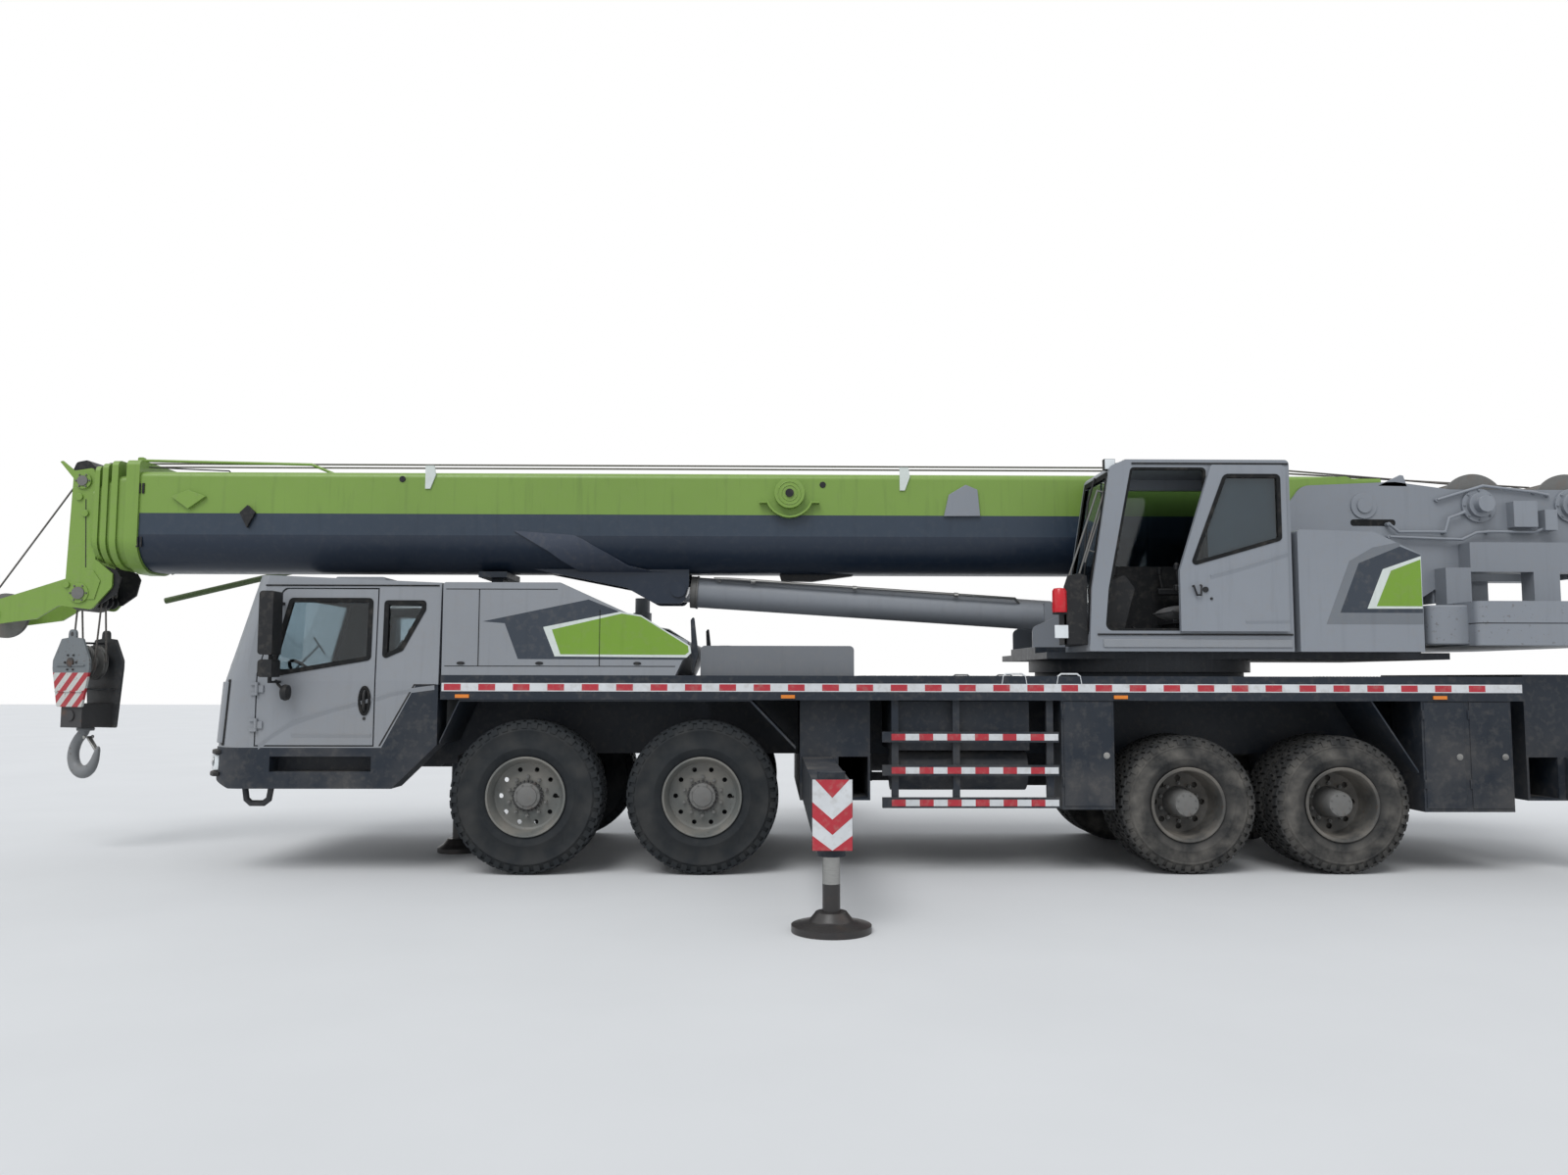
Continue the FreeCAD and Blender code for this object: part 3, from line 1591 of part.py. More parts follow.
doc.recompute()
broken = [item.Name for item in doc.Objects if "Invalid" in item.State or "Error" in item.State]
if broken:
    raise RuntimeError("failed to build: " + ", ".join(broken))
for name, item in NODES.items():
    if item.Shape.isNull() or not item.Shape.isValid() or not item.Shape.Solids:
        raise RuntimeError(f"{name} has no valid solid")
    item.Shape.exportStep(f"parts/{name}.step")
print(f"{len(NODES)} sub-parts written")
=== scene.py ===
from math import copysign, cos, exp, pi, radians, sin, sqrt, tan

import bmesh
import bpy
from mathutils import Matrix, Vector


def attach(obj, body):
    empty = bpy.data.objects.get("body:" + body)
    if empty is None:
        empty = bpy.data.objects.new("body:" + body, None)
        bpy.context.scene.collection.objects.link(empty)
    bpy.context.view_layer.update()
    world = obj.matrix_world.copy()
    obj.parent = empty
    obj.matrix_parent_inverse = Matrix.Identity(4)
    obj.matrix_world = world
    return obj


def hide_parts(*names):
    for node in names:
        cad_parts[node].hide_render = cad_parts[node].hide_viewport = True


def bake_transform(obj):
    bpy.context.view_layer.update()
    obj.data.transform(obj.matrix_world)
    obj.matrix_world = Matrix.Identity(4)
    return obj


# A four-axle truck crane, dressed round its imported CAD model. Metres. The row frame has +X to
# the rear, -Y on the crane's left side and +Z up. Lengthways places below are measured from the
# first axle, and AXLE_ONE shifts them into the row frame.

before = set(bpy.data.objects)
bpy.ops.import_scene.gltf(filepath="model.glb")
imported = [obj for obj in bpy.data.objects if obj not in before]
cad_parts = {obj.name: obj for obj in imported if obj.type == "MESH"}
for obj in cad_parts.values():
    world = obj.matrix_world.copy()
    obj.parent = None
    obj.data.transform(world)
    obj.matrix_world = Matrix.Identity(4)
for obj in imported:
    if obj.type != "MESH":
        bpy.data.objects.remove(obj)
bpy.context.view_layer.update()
AXLE_ONE = -2.3
AXLES = {"one": 0, "two": 1.52, "three": 5.745, "four": 7.095}
FRONT_TYRE, REAR_TYRE = 0.665, 0.598
WINCHES, WINCH_HIGH = {"one": 8.96, "two": 9.87}, 3.37
PLATE_FACE = 0.455
UPPER_SHEAVE, NOSE_SHEAVE = (-4.61, 3.6), (-5.43, 2.29)
LEFT, RIGHT = -1, 1
SIDES = ((LEFT, "left"), (RIGHT, "right"))


# Camera.

CAMERA_SPOT = (-0.1967, -11.3791, 1.6891)
CAMERA_YAW, CAMERA_PITCH, CAMERA_ROLL = -0.0121, 0.0791, -0.0019
CAMERA_LENS = 26.293


def make_camera():
    data = bpy.data.cameras.new("camera")
    data.lens = CAMERA_LENS
    data.sensor_width = 36
    data.clip_end = 500
    camera = bpy.data.objects.new("camera", data)
    turn = (
        Matrix.Rotation(CAMERA_YAW, 3, "Z")
        @ Matrix.Rotation(CAMERA_PITCH, 3, "X")
        @ Matrix.Rotation(CAMERA_ROLL, 3, "Y")
    )
    right, ahead, up = turn.col
    aim = Matrix((right, up, -ahead)).transposed().to_4x4()
    camera.matrix_world = Matrix.Translation(CAMERA_SPOT) @ aim
    bpy.context.scene.collection.objects.link(camera)
    bpy.context.scene.camera = camera


make_camera()
bpy.context.scene.view_settings.view_transform = "Standard"


# Materials.


class Shade:
    """A material's node tree, with short ways to add its nodes."""

    def __init__(self, name):
        self.material = bpy.data.materials.new(name)
        self.material.use_nodes = True
        self.tree = self.material.node_tree
        self.tree.nodes.clear()
        self.out = self.node("ShaderNodeOutputMaterial")
        self.skin = self.node("ShaderNodeBsdfPrincipled")
        self.link(self.skin.outputs["BSDF"], self.out.inputs["Surface"])
        self.spot = self.node("ShaderNodeTexCoord").outputs["Object"]
        axes = self.node("ShaderNodeSeparateXYZ")
        self.link(self.spot, axes.inputs[0])
        self.x, self.y, self.z = axes.outputs
        facing = self.node("ShaderNodeSeparateXYZ")
        self.link(self.node("ShaderNodeNewGeometry").outputs["Normal"], facing.inputs[0])
        self.upward = facing.outputs["Z"]

    def node(self, kind, **settings):
        made = self.tree.nodes.new(kind)
        for name, value in settings.items():
            setattr(made, name, value)
        return made

    def link(self, source, target):
        self.tree.links.new(source, target)

    def give(self, socket, value):
        if isinstance(value, bpy.types.NodeSocket):
            self.link(value, socket)
        elif isinstance(value, tuple) and len(value) == 3 and socket.type == "RGBA":
            socket.default_value = (*value, 1)
        else:
            socket.default_value = value

    def noise(self, scale, detail=3.0, stretch=None, rough=0.55):
        made = self.node("ShaderNodeTexNoise")
        made.inputs["Scale"].default_value = scale
        made.inputs["Detail"].default_value = detail
        made.inputs["Roughness"].default_value = rough
        spot = self.spot
        if stretch:
            mapping = self.node("ShaderNodeMapping")
            mapping.inputs["Scale"].default_value = stretch
            self.link(spot, mapping.inputs["Vector"])
            spot = mapping.outputs[0]
        self.link(spot, made.inputs["Vector"])
        return made.outputs["Fac"]

    def ramp(self, value, low, high, bottom=0.0, top=1.0):
        made = self.node("ShaderNodeMapRange")
        for name, given in zip(("Value", "From Min", "From Max", "To Min", "To Max"),
                               (value, low, high, bottom, top)):
            self.give(made.inputs[name], given)
        return made.outputs[0]

    def math(self, work, first, second=0.0):
        made = self.node("ShaderNodeMath", operation=work)
        self.give(made.inputs[0], first)
        self.give(made.inputs[1], second)
        return made.outputs[0]

    def mix(self, share, first, second):
        made = self.node("ShaderNodeMix", data_type="RGBA")
        self.give(made.inputs["Factor"], share)
        self.give(made.inputs[6], first)
        self.give(made.inputs[7], second)
        return made.outputs[2]

    def bump(self, height, strength, distance):
        made = self.node("ShaderNodeBump")
        made.inputs["Strength"].default_value = strength
        made.inputs["Distance"].default_value = distance
        self.link(height, made.inputs["Height"])
        self.link(made.outputs[0], self.skin.inputs["Normal"])

    def set(self, **sockets):
        for name, value in sockets.items():
            self.give(self.skin.inputs[name.replace("_", " ")], value)


DUST = (0.30, 0.27, 0.23)


def scaled(colour, share):
    return tuple(min(1.0, part * share) for part in colour)


def paint(name, colour, rough=0.42, metal=0.0, dust=0.45, dust_top=1.7, bump=0.1, mottle=0.1,
          chips=0.0, specular=0.4, pattern=None, grain=0.16):
    """Sprayed steel or plastic: uneven colour, rain streaks, dust low down and on top faces."""
    shade = Shade(name)
    base = pattern(shade) if pattern else None
    wide, fine = shade.noise(0.9, 4), shade.noise(17, 6)
    if base is None:
        base = shade.mix(wide, scaled(colour, 1 - mottle), scaled(colour, 1 + mottle))
    else:
        base = shade.mix(shade.ramp(wide, 0.3, 0.7, 0.0, mottle), base, (0.0, 0.0, 0.0))
    streak = shade.ramp(shade.noise(5, 4, stretch=(3, 3, 0.22)), 0.55, 0.8, 0.0, 0.22)
    base = shade.mix(streak, base, scaled(colour, 0.55))
    base = shade.mix(shade.ramp(fine, 0.5, 0.8, 0.0, grain), base, scaled(DUST, 0.8))
    if chips:
        spots = shade.ramp(shade.noise(30, 2), 0.66, 0.69, 0.0, chips)
        base = shade.mix(spots, base, (0.06, 0.035, 0.02))
    low = shade.ramp(shade.z, dust_top, 0.0)
    patch = shade.ramp(shade.noise(2.4, 6), 0.38, 0.72)
    lying = shade.ramp(shade.upward, 0.55, 0.95, 0.0, 0.7)
    amount = shade.math("MULTIPLY", shade.math("ADD", low, lying), patch)
    amount = shade.math("MINIMUM", shade.math("MULTIPLY", amount, dust), 0.85)
    shade.set(Base_Color=shade.mix(amount, base, DUST), Metallic=metal, Specular_IOR_Level=specular,
              Roughness=shade.math("ADD", shade.ramp(fine, 0.3, 0.7, rough - 0.05, rough + 0.07),
                                   shade.math("MULTIPLY", amount, 0.3)))
    shade.bump(shade.noise(60, 3), bump, 0.002)
    return shade.material


def split_paint(shade, upper, lower, level, band=None):
    """One colour above a height and another below it, with a lighter band under the line: a painted
    highlight.
    """
    over = shade.math("GREATER_THAN", shade.z, level)
    if band:
        under = shade.math("GREATER_THAN", shade.z, band[0])
        lower = shade.mix(under, lower, band[1])
    return shade.mix(over, lower, upper)


GREY = (0.235, 0.25, 0.272)
UPPER_GREY = (0.225, 0.245, 0.275)
GREEN = (0.188, 0.312, 0.06)
NAVY = (0.011, 0.021, 0.04)
# The lighter navy band under the boom's green is a painted highlight: the flat side catching more light than
# the round belly.
NAVY_PAINTED_HIGHLIGHT = (0.026, 0.042, 0.066)
NEAR_BLACK = (0.014, 0.02, 0.03)
TANK_GREY = (0.155, 0.166, 0.182)
BOOM_LINE, BOOM_HIGHLIGHT_FOOT = 3.262, 3.055
COLLAR_REAR = -3.962
SADDLE = (0.05, 0.062, 0.09)
BLOCK_X, BLOCK_TURN = -4.6, radians(-24)


def boom_pattern(shade):
    # Under the green the navy has a lighter band, a painted highlight where the boom's flat side catches more
    # light.
    tube = split_paint(shade, GREEN, NAVY, BOOM_LINE, (BOOM_HIGHLIGHT_FOOT, NAVY_PAINTED_HIGHLIGHT))
    at_collar = shade.math("LESS_THAN", shade.x, COLLAR_REAR + AXLE_ONE)
    return shade.mix(at_collar, tube, GREEN)


def gear_pattern(shade):
    """The fins ahead of the tank are dark."""
    fins = shade.math("MULTIPLY", shade.math("GREATER_THAN", shade.x, 1.38 + AXLE_ONE),
                      shade.math("LESS_THAN", shade.x, 1.49 + AXLE_ONE))
    return shade.mix(fins, TANK_GREY, NEAR_BLACK)


def turret_pattern(shade):
    """The slewing base is dark, what stands on it is grey."""
    return split_paint(shade, UPPER_GREY, NEAR_BLACK, 1.988)


def block_pattern(shade):
    """The hook block's near cheek is pale above red and white stripes, and the rest is dark."""
    step = shade.math("FRACT", shade.math("DIVIDE", shade.math("SUBTRACT", shade.z, shade.x), 0.17))
    stripes = shade.mix(shade.math("GREATER_THAN", step, 0.5), (0.5, 0.51, 0.49), (0.36, 0.025, 0.035))
    striped = shade.math("LESS_THAN", shade.z, 1.73)
    cheek = shade.mix(striped, (0.15, 0.168, 0.18), stripes)
    near = shade.math("LESS_THAN", shade.y, -0.159)
    return shade.mix(near, (0.032, 0.035, 0.039), cheek)


def lens_pattern(shade):
    """White headlamps, orange side markers and red tail lamps."""
    side = shade.mix(shade.math("GREATER_THAN", shade.x, 9.6 + AXLE_ONE), (0.75, 0.22, 0.02),
                     (0.5, 0.01, 0.01))
    return shade.mix(shade.math("LESS_THAN", shade.x, -2.0 + AXLE_ONE), side, (0.75, 0.78, 0.8))


def rubber(name, colour, dusty, radius):
    """Tyre rubber with dried mud on the sidewall, thickest between the bead and the tread."""
    shade = Shade(name)
    out = shade.math("SQRT", shade.math("ADD", shade.math("MULTIPLY", shade.x, shade.x),
                                        shade.math("MULTIPLY", shade.z, shade.z)))
    wall = shade.math("MULTIPLY", shade.ramp(out, radius * 0.5, radius * 0.72),
                      shade.ramp(out, radius * 0.995, radius * 0.86))
    mud = shade.math("MULTIPLY", shade.ramp(shade.noise(5, 7), 0.36, 0.66), wall)
    mud = shade.math("MAXIMUM", mud, shade.ramp(shade.noise(14, 6), 0.42, 0.75, 0.0, 0.35))
    mud = shade.math("MULTIPLY", mud, dusty)
    base = shade.mix(shade.noise(9, 5), scaled(colour, 0.8), scaled(colour, 1.25))
    shade.set(Base_Color=shade.mix(mud, base, (0.16, 0.15, 0.135)), Specular_IOR_Level=0.25,
              Roughness=shade.ramp(shade.noise(20, 4), 0.2, 0.8, 0.72, 0.92))
    shade.bump(shade.noise(90, 4), 0.25, 0.002)
    return shade.material


def glass(name, tint, rough=0.03):
    """Tinted glass with a thin film of dirt."""
    shade = Shade(name)
    film = shade.ramp(shade.noise(3, 5), 0.4, 0.8, 0.0, 0.3)
    shade.set(Base_Color=shade.mix(film, tint, scaled(tint, 0.75)), IOR=1.45, Transmission_Weight=1.0,
              Roughness=shade.ramp(shade.noise(8, 4), 0.3, 0.8, rough, rough + 0.06))
    return shade.material


def bare_metal(name, colour, rough, metal=0.9, brushed=(1, 1, 1), rust=0.1, dark_below=0.0):
    """Brushed or cast metal with some rust, dark and not metallic below a height if one is given."""
    shade = Shade(name)
    marks = shade.noise(25, 5, stretch=brushed)
    base = shade.mix(marks, scaled(colour, 0.75), scaled(colour, 1.15))
    if dark_below:
        base = shade.mix(shade.math("LESS_THAN", shade.z, dark_below), base,
                         shade.mix(shade.noise(4, 5), (0.016, 0.015, 0.017), (0.035, 0.032, 0.03)))
        metal = shade.ramp(shade.z, dark_below - 0.001, dark_below, 0.0, metal)
    base = shade.mix(shade.ramp(shade.noise(7, 6), 0.55, 0.75, 0.0, rust), base, (0.16, 0.075, 0.035))
    shade.set(Base_Color=base, Metallic=metal,
              Roughness=shade.ramp(marks, 0.2, 0.8, rough - 0.06, rough + 0.12))
    shade.bump(marks, 0.08, 0.001)
    return shade.material


def reflective(name, colour):
    """Reflective sheeting: a fine honeycomb under a clear film, with dirt on it."""
    shade = Shade(name)
    cells = shade.node("ShaderNodeTexVoronoi", feature="DISTANCE_TO_EDGE")
    cells.inputs["Scale"].default_value = 260
    shade.link(shade.spot, cells.inputs["Vector"])
    base = shade.mix(shade.ramp(shade.noise(4, 5), 0.4, 0.75, 0.0, 0.4), colour, scaled(colour, 0.62))
    base = shade.mix(shade.ramp(shade.noise(19, 6), 0.5, 0.75, 0.0, 0.35), base, DUST)
    shade.set(Base_Color=base, Roughness=shade.ramp(shade.noise(12, 3), 0.3, 0.7, 0.28, 0.45))
    shade.bump(cells.outputs["Distance"], 0.15, 0.001)
    return shade.material


def cloth(name, colour):
    """Woven seat cloth: two crossed sets of ribs with painted shade between them, and lint."""
    shade = Shade(name)
    ribs = []
    for axis in ("X", "Z"):
        wave = shade.node("ShaderNodeTexWave", bands_direction=axis)
        wave.inputs["Scale"].default_value = 110
        wave.inputs["Distortion"].default_value = 0.6
        shade.link(shade.spot, wave.inputs["Vector"])
        ribs.append(wave.outputs["Fac"])
    weave = shade.math("MULTIPLY", *ribs)
    # The weave's darker grooves between the ribs are painted shade.
    base = shade.mix(weave, scaled(colour, 0.7), scaled(colour, 1.3))
    shade.set(Base_Color=shade.mix(shade.ramp(shade.noise(6, 5), 0.4, 0.7, 0.0, 0.3), base, DUST),
              Roughness=shade.ramp(weave, 0, 1, 0.85, 0.97), Sheen_Weight=0.3)
    shade.bump(weave, 0.4, 0.001)
    return shade.material


def strands(name, colour):
    """Wire rope: slanted strands, darker between them."""
    shade = Shade(name)
    wave = shade.node("ShaderNodeTexWave", bands_direction="DIAGONAL")
    wave.inputs["Scale"].default_value = 45
    shade.link(shade.spot, wave.inputs["Vector"])
    shade.set(Base_Color=shade.mix(wave.outputs["Fac"], scaled(colour, 0.4), scaled(colour, 1.3)),
              Metallic=0.6, Roughness=shade.ramp(shade.noise(30, 3), 0.3, 0.7, 0.4, 0.6))
    shade.bump(wave.outputs["Fac"], 0.5, 0.003)
    return shade.material


MATERIALS = {
    "body": (paint("body_paint", GREY), "body_grey"),
    "upper": (paint("upper_paint", UPPER_GREY, dust_top=0.5), "upper_grey"),
    "dark": (paint("frame_paint", NEAR_BLACK, rough=0.5, dust=0.3, specular=0.3), "frame_dark"),
    "boom": (paint("boom_paint", NAVY, rough=0.36, dust=0.08, dust_top=0.1, pattern=boom_pattern, grain=0.05),
             "boom_green"),
    "green": (paint("green_paint", GREEN, rough=0.36, dust=0.25, dust_top=0.3), "boom_green"),
    "lattice": (paint("lattice_paint", (0.1, 0.145, 0.06), dust=0.2, dust_top=0.3, chips=0.3), "boom_green"),
    "navy": (paint("livery_dark", (0.03, 0.04, 0.056), rough=0.35, dust=0.15), "body_grey"),
    "mid": (paint("livery_mid", (0.15, 0.165, 0.185), rough=0.4, dust=0.2), "body_grey"),
    "lime": (paint("livery_green", (0.165, 0.305, 0.03), rough=0.35, dust=0.12), "boom_green"),
    "white": (paint("livery_white", (0.6, 0.65, 0.62), rough=0.35, dust=0.2), "body_grey"),
    "gear": (paint("gear_paint", TANK_GREY, pattern=gear_pattern), "upper_grey"),
    "turret": (paint("turret_paint", UPPER_GREY, dust_top=0.5, pattern=turret_pattern), "upper_grey"),
    "block": (paint("block_paint", NEAR_BLACK, rough=0.5, dust=0.3, chips=0.6, pattern=block_pattern),
              "cast_dark"),
    "saddle": (paint("saddle_paint", SADDLE, rough=0.36, dust=0.2, dust_top=0.1), "boom_green"),
    "weight": (paint("weight_paint", UPPER_GREY, dust_top=0.5, chips=0.35), "upper_grey"),
    "cylinder": (paint("cylinder_paint", (0.24, 0.258, 0.285), rough=0.38, dust_top=0.5), "upper_grey"),
    "rim": (paint("rim_paint", (0.12, 0.127, 0.122), rough=0.5, dust=0.5, dust_top=2, chips=0.5), "rim_grey"),
    # A darker copy of the rim paint: painted shade for the rear rims' deep dish and the inner rims behind it.
    "rim_shaded": (paint("rim_shaded_paint", (0.055, 0.055, 0.053), rough=0.6, dust=0.5, chips=0.5), "rim_grey"),
    "front_tyre": (rubber("front_tyre_rubber", (0.014, 0.017, 0.02), 0.16, FRONT_TYRE), "tyre"),
    "rear_tyre": (rubber("rear_tyre_rubber", (0.02, 0.021, 0.022), 0.75, REAR_TYRE), "tyre"),
    "glass": (glass("tinted_glass", (0.42, 0.5, 0.54)), "glass"),
    "trim": (paint("black_trim", (0.012, 0.013, 0.015), rough=0.55, dust=0.25, specular=0.3), "trim_black"),
    "rubber": (paint("seal_rubber", (0.008, 0.009, 0.01), rough=0.75, dust=0.15, specular=0.2), "trim_black"),
    "lens": (paint("lamp_lens", (0.6, 0.3, 0.1), rough=0.18, dust=0.1, pattern=lens_pattern), "lens"),
    "orange": (paint("orange_lens", (0.8, 0.2, 0.01), rough=0.2, dust=0.1), "lens"),
    "red_lens": (paint("red_lens", (0.55, 0.01, 0.02), rough=0.2, dust=0.1), "lens"),
    "clear_lens": (paint("clear_lens", (0.7, 0.74, 0.76), rough=0.12, dust=0.1), "lens"),
    # The jacks are dark and not metallic below 0.315 m, round the foot pad.
    "steel": (bare_metal("jack_steel", (0.35, 0.35, 0.34), 0.34, brushed=(1, 1, 8), dark_below=0.315),
              "steel"),
    "chrome": (bare_metal("polished_rod", (0.55, 0.56, 0.57), 0.15, rust=0.02), "chrome"),
    "iron": (bare_metal("cast_iron", (0.05, 0.05, 0.052), 0.6, metal=0.3, rust=0.5), "cast_dark"),
    "hub": (bare_metal("hub_iron", (0.16, 0.16, 0.155), 0.6, metal=0.3, rust=0.35), "cast_dark"),
    "rope": (strands("wire_rope", (0.16, 0.15, 0.14)), "steel"),
    "cloth": (cloth("seat_weave", (0.035, 0.038, 0.045)), "seat_cloth"),
    "red": (reflective("red_sheeting", (0.42, 0.02, 0.035)), "lens"),
    "pale": (reflective("white_sheeting", (0.62, 0.64, 0.66)), "lens"),
    "hook": (paint("hook_paint", (0.16, 0.17, 0.18), rough=0.5, dust=0.3, chips=0.6), "cast_dark"),
}

DRESSED = {
    "body": ["cab_shell", "door_left", "door_right", "engine_hood"],
    "turret": ["turntable"],
    "upper": ["cover_box", "operator_cab", "operator_door"],
    "gear": ["deck_gear"],
    "dark": ["chassis", "deck", "fenders", "lockers", "side_rails", "bumper", "axles_front", "axles_rear",
             "knuckle_one_left", "knuckle_one_right", "knuckle_two_left", "knuckle_two_right", "boom_rest",
             "beam_front_left", "beam_front_right", "beam_rear_left", "beam_rear_right"],
    "trim": ["mirrors_left", "mirrors_right"],
    "iron": ["engine_block"],
    "weight": ["counterweight"],
    "boom": ["boom_base"],
    "green": ["boom_two", "boom_three", "boom_four", "boom_head"],
    "cylinder": ["luff_barrel"],
    "chrome": ["luff_rod"],
    "lattice": ["jib"],
    "steel": ["jack_front_left", "jack_front_right", "jack_rear_left", "jack_rear_right", "jack_nose"],
    "hub": ["head_sheaves", "winch_drums"],
    "hook": ["hook_block", "hook"],
    "glass": ["cab_glass", "operator_glass"],
    "lens": ["lamps"],
    "trim_inside": ["cab_inside", "operator_inside"],
}
for word, names in DRESSED.items():
    word = word.removesuffix("_inside")
    for name in names:
        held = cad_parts[name].data.materials
        held.clear()
        held.append(MATERIALS[word][0])


# Meshes.

# Corners of a box run through its x, then y, then z.
BOX_FACES = [(0, 1, 3, 2), (4, 6, 7, 5), (0, 4, 5, 1), (2, 3, 7, 6), (0, 2, 6, 4), (1, 5, 7, 3)]


class Piece:
    """Forms gathered into one mesh, in metres from the first axle."""

    def __init__(self):
        self.mesh = bmesh.new()

    def add(self, spots, faces):
        made = [self.mesh.verts.new(spot) for spot in spots]
        for face in faces:
            self.mesh.faces.new([made[i] for i in face])
        return made

    def box(self, x, y, z):
        corners = [(a, b, c) for a in x for b in y for c in z]
        self.add(corners, BOX_FACES)
        return self

    def slab(self, outline, near, far):
        """A closed outline of points, drawn from near(point) to far(point)."""
        count = len(outline)
        self.add([near(p) for p in outline] + [far(p) for p in outline],
                 [tuple(range(count))[::-1], tuple(range(count, 2 * count))]
                 + [(i, (i + 1) % count, (i + 1) % count + count, i + count) for i in range(count)])
        return self

    def side_plate(self, outline, low, high):
        """An (x, z) outline between two y."""
        return self.slab(outline, lambda p: (p[0], low, p[1]), lambda p: (p[0], high, p[1]))

    def tube(self, line, radius, sides=10, closed=False):
        """A round bar along a line of points."""
        line = [Vector(p) for p in line]
        rings, frame_side = [], None
        for i, spot in enumerate(line):
            before = line[i - 1] if i or closed else None
            after = line[(i + 1) % len(line)] if i + 1 < len(line) or closed else None
            into = (spot - before).normalized() if before is not None else None
            out = (after - spot).normalized() if after is not None else None
            along = ((into or out) + (out or into)).normalized()
            if frame_side is None:
                frame_side = along.orthogonal().normalized()
            frame_side = (frame_side - along * frame_side.dot(along)).normalized()
            other = along.cross(frame_side)
            bend = 1.0
            if into is not None and out is not None:
                bend = 1 / max(0.35, cos(into.angle(out, 0) / 2))
            ring = []
            for k in range(sides):
                turn = 2 * pi * k / sides
                offset = frame_side * cos(turn) + other * sin(turn)
                if bend > 1.02:
                    normal = (out - into).normalized()
                    offset += normal * offset.dot(normal) * (bend - 1)
                ring.append(self.mesh.verts.new(spot + offset * radius))
            rings.append(ring)
        pairs = list(zip(rings, rings[1:]))
        if closed:
            pairs.append((rings[-1], rings[0]))
        for a, b in pairs:
            for k in range(sides):
                n = (k + 1) % sides
                self.mesh.faces.new((a[k], a[n], b[n], b[k]))
        if not closed:
            self.mesh.faces.new(rings[0][::-1])
            self.mesh.faces.new(rings[-1])
        return self

    def turned(self, profile, centre, axis="y", sides=48, closed=False):
        """A form of revolution from (along, radius) points about an axis through a centre."""
        centre = Vector(centre)
        rings = []
        for along, radius in profile:
            if radius < 1e-6:
                rings.append([self.mesh.verts.new(centre + swung(axis, along, 0, 0))])
                continue
            rings.append([
                self.mesh.verts.new(centre + swung(axis, along, radius, 2 * pi * k / sides))
                for k in range(sides)
            ])
        pairs = list(zip(rings, rings[1:]))
        if closed:
            pairs.append((rings[-1], rings[0]))
        for a, b in pairs:
            for k in range(sides):
                n = (k + 1) % sides
                corners = [a[k % len(a)], a[n % len(a)], b[n % len(b)], b[k % len(b)]]
                corners = list(dict.fromkeys(corners))
                if len(corners) > 2:
                    self.mesh.faces.new(corners)
        if not closed:
            for ring in (rings[0], rings[-1]):
                if len(ring) > 1:
                    self.mesh.faces.new(ring)
        return self

    def nut(self, spot, axis, radius, height):
        """A hexagon nut with its stud."""
        self.turned([(0, radius), (height, radius)], spot, axis, 6)
        return self.turned([(0, radius * 0.5), (height * 1.5, radius * 0.45)], spot, axis, 8)

    def done(self, name, body, look, bevel=0.0, smooth=35, at=(AXLE_ONE, 0, 0), turn=0.0, swap=()):
        """Make the object, ride it on its body and let it stand for the nodes in swap."""
        return placed(stock(self, name), name, body, look, bevel, smooth, at, turn, swap)


def circle(count):
    """Even angles round a circle."""
    return [2 * pi * k / count for k in range(count)]


def swung(axis, along, radius, turn):
    a, b = radius * cos(turn), radius * sin(turn)
    return Vector({"x": (along, a, b), "y": (a, along, b), "z": (a, b, along)}[axis])


def placed(data, name, body, look, bevel, smooth, at, turn, swap):
    """Put a mesh in the row frame. A mesh measured from the first axle is shifted in place."""
    material, slot = MATERIALS[look]
    if tuple(at) == (AXLE_ONE, 0, 0) and not turn:
        data.transform(Matrix.Translation(at))
        at = (0, 0, 0)
    if not data.materials:
        data.materials.append(material)
    data.shade_smooth()
    data.set_sharp_from_angle(angle=radians(smooth))
    piece = bpy.data.objects.new(name, data)
    bpy.context.scene.collection.objects.link(piece)
    piece.matrix_world = Matrix.Translation(at) @ Matrix.Rotation(turn, 4, "Z")
    if bevel:
        edge = piece.modifiers.new("edge", "BEVEL")
        edge.width = bevel
        edge.segments = 2
        edge.limit_method = "ANGLE"
        edge.angle_limit = radians(40)
    if body:
        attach(piece, body)
    if swap:
        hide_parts(*swap)
    return piece


def rounded(outline, steps=5):
    """Turn (a, b, radius) corners of an outline into short arcs."""
    points, count = [], len(outline)
    for i, corner in enumerate(outline):
        spot = Vector(corner[:2])
        if len(corner) < 3:
            points.append(tuple(spot))
            continue
        back = (Vector(outline[i - 1][:2]) - spot).normalized()
        ahead = (Vector(outline[(i + 1) % count][:2]) - spot).normalized()
        half = back.angle(ahead) / 2
        centre = spot + (back + ahead).normalized() * (corner[2] / sin(half))
        start = spot + back * (corner[2] / tan(half)) - centre
        swing = pi - 2 * half
        if back.x * ahead.y - back.y * ahead.x > 0:
            swing = -swing
        for k in range(steps + 1):
            turn = swing * k / steps
            c, s = cos(turn), sin(turn)
            points.append(tuple(centre + Vector((start.x * c - start.y * s, start.x * s + start.y * c))))
    return points


def grown(points, by):
    """An outline moved outwards along its own edges."""
    area = sum(a[0] * b[1] - b[0] * a[1] for a, b in zip(points, points[1:] + points[:1]))
    sign = 1 if area > 0 else -1
    moved, count = [], len(points)
    for i in range(count):
        before, spot, after = (Vector(points[j]) for j in ((i - 1) % count, i, (i + 1) % count))
        one = (spot - before).normalized()
        two = (after - spot).normalized()
        normal = Vector((one.y + two.y, -one.x - two.x))
        normal.normalize()
        reach = by / max(0.4, normal.dot(Vector((one.y, -one.x))))
        moved.append(tuple(spot + normal * reach * sign))
    return moved


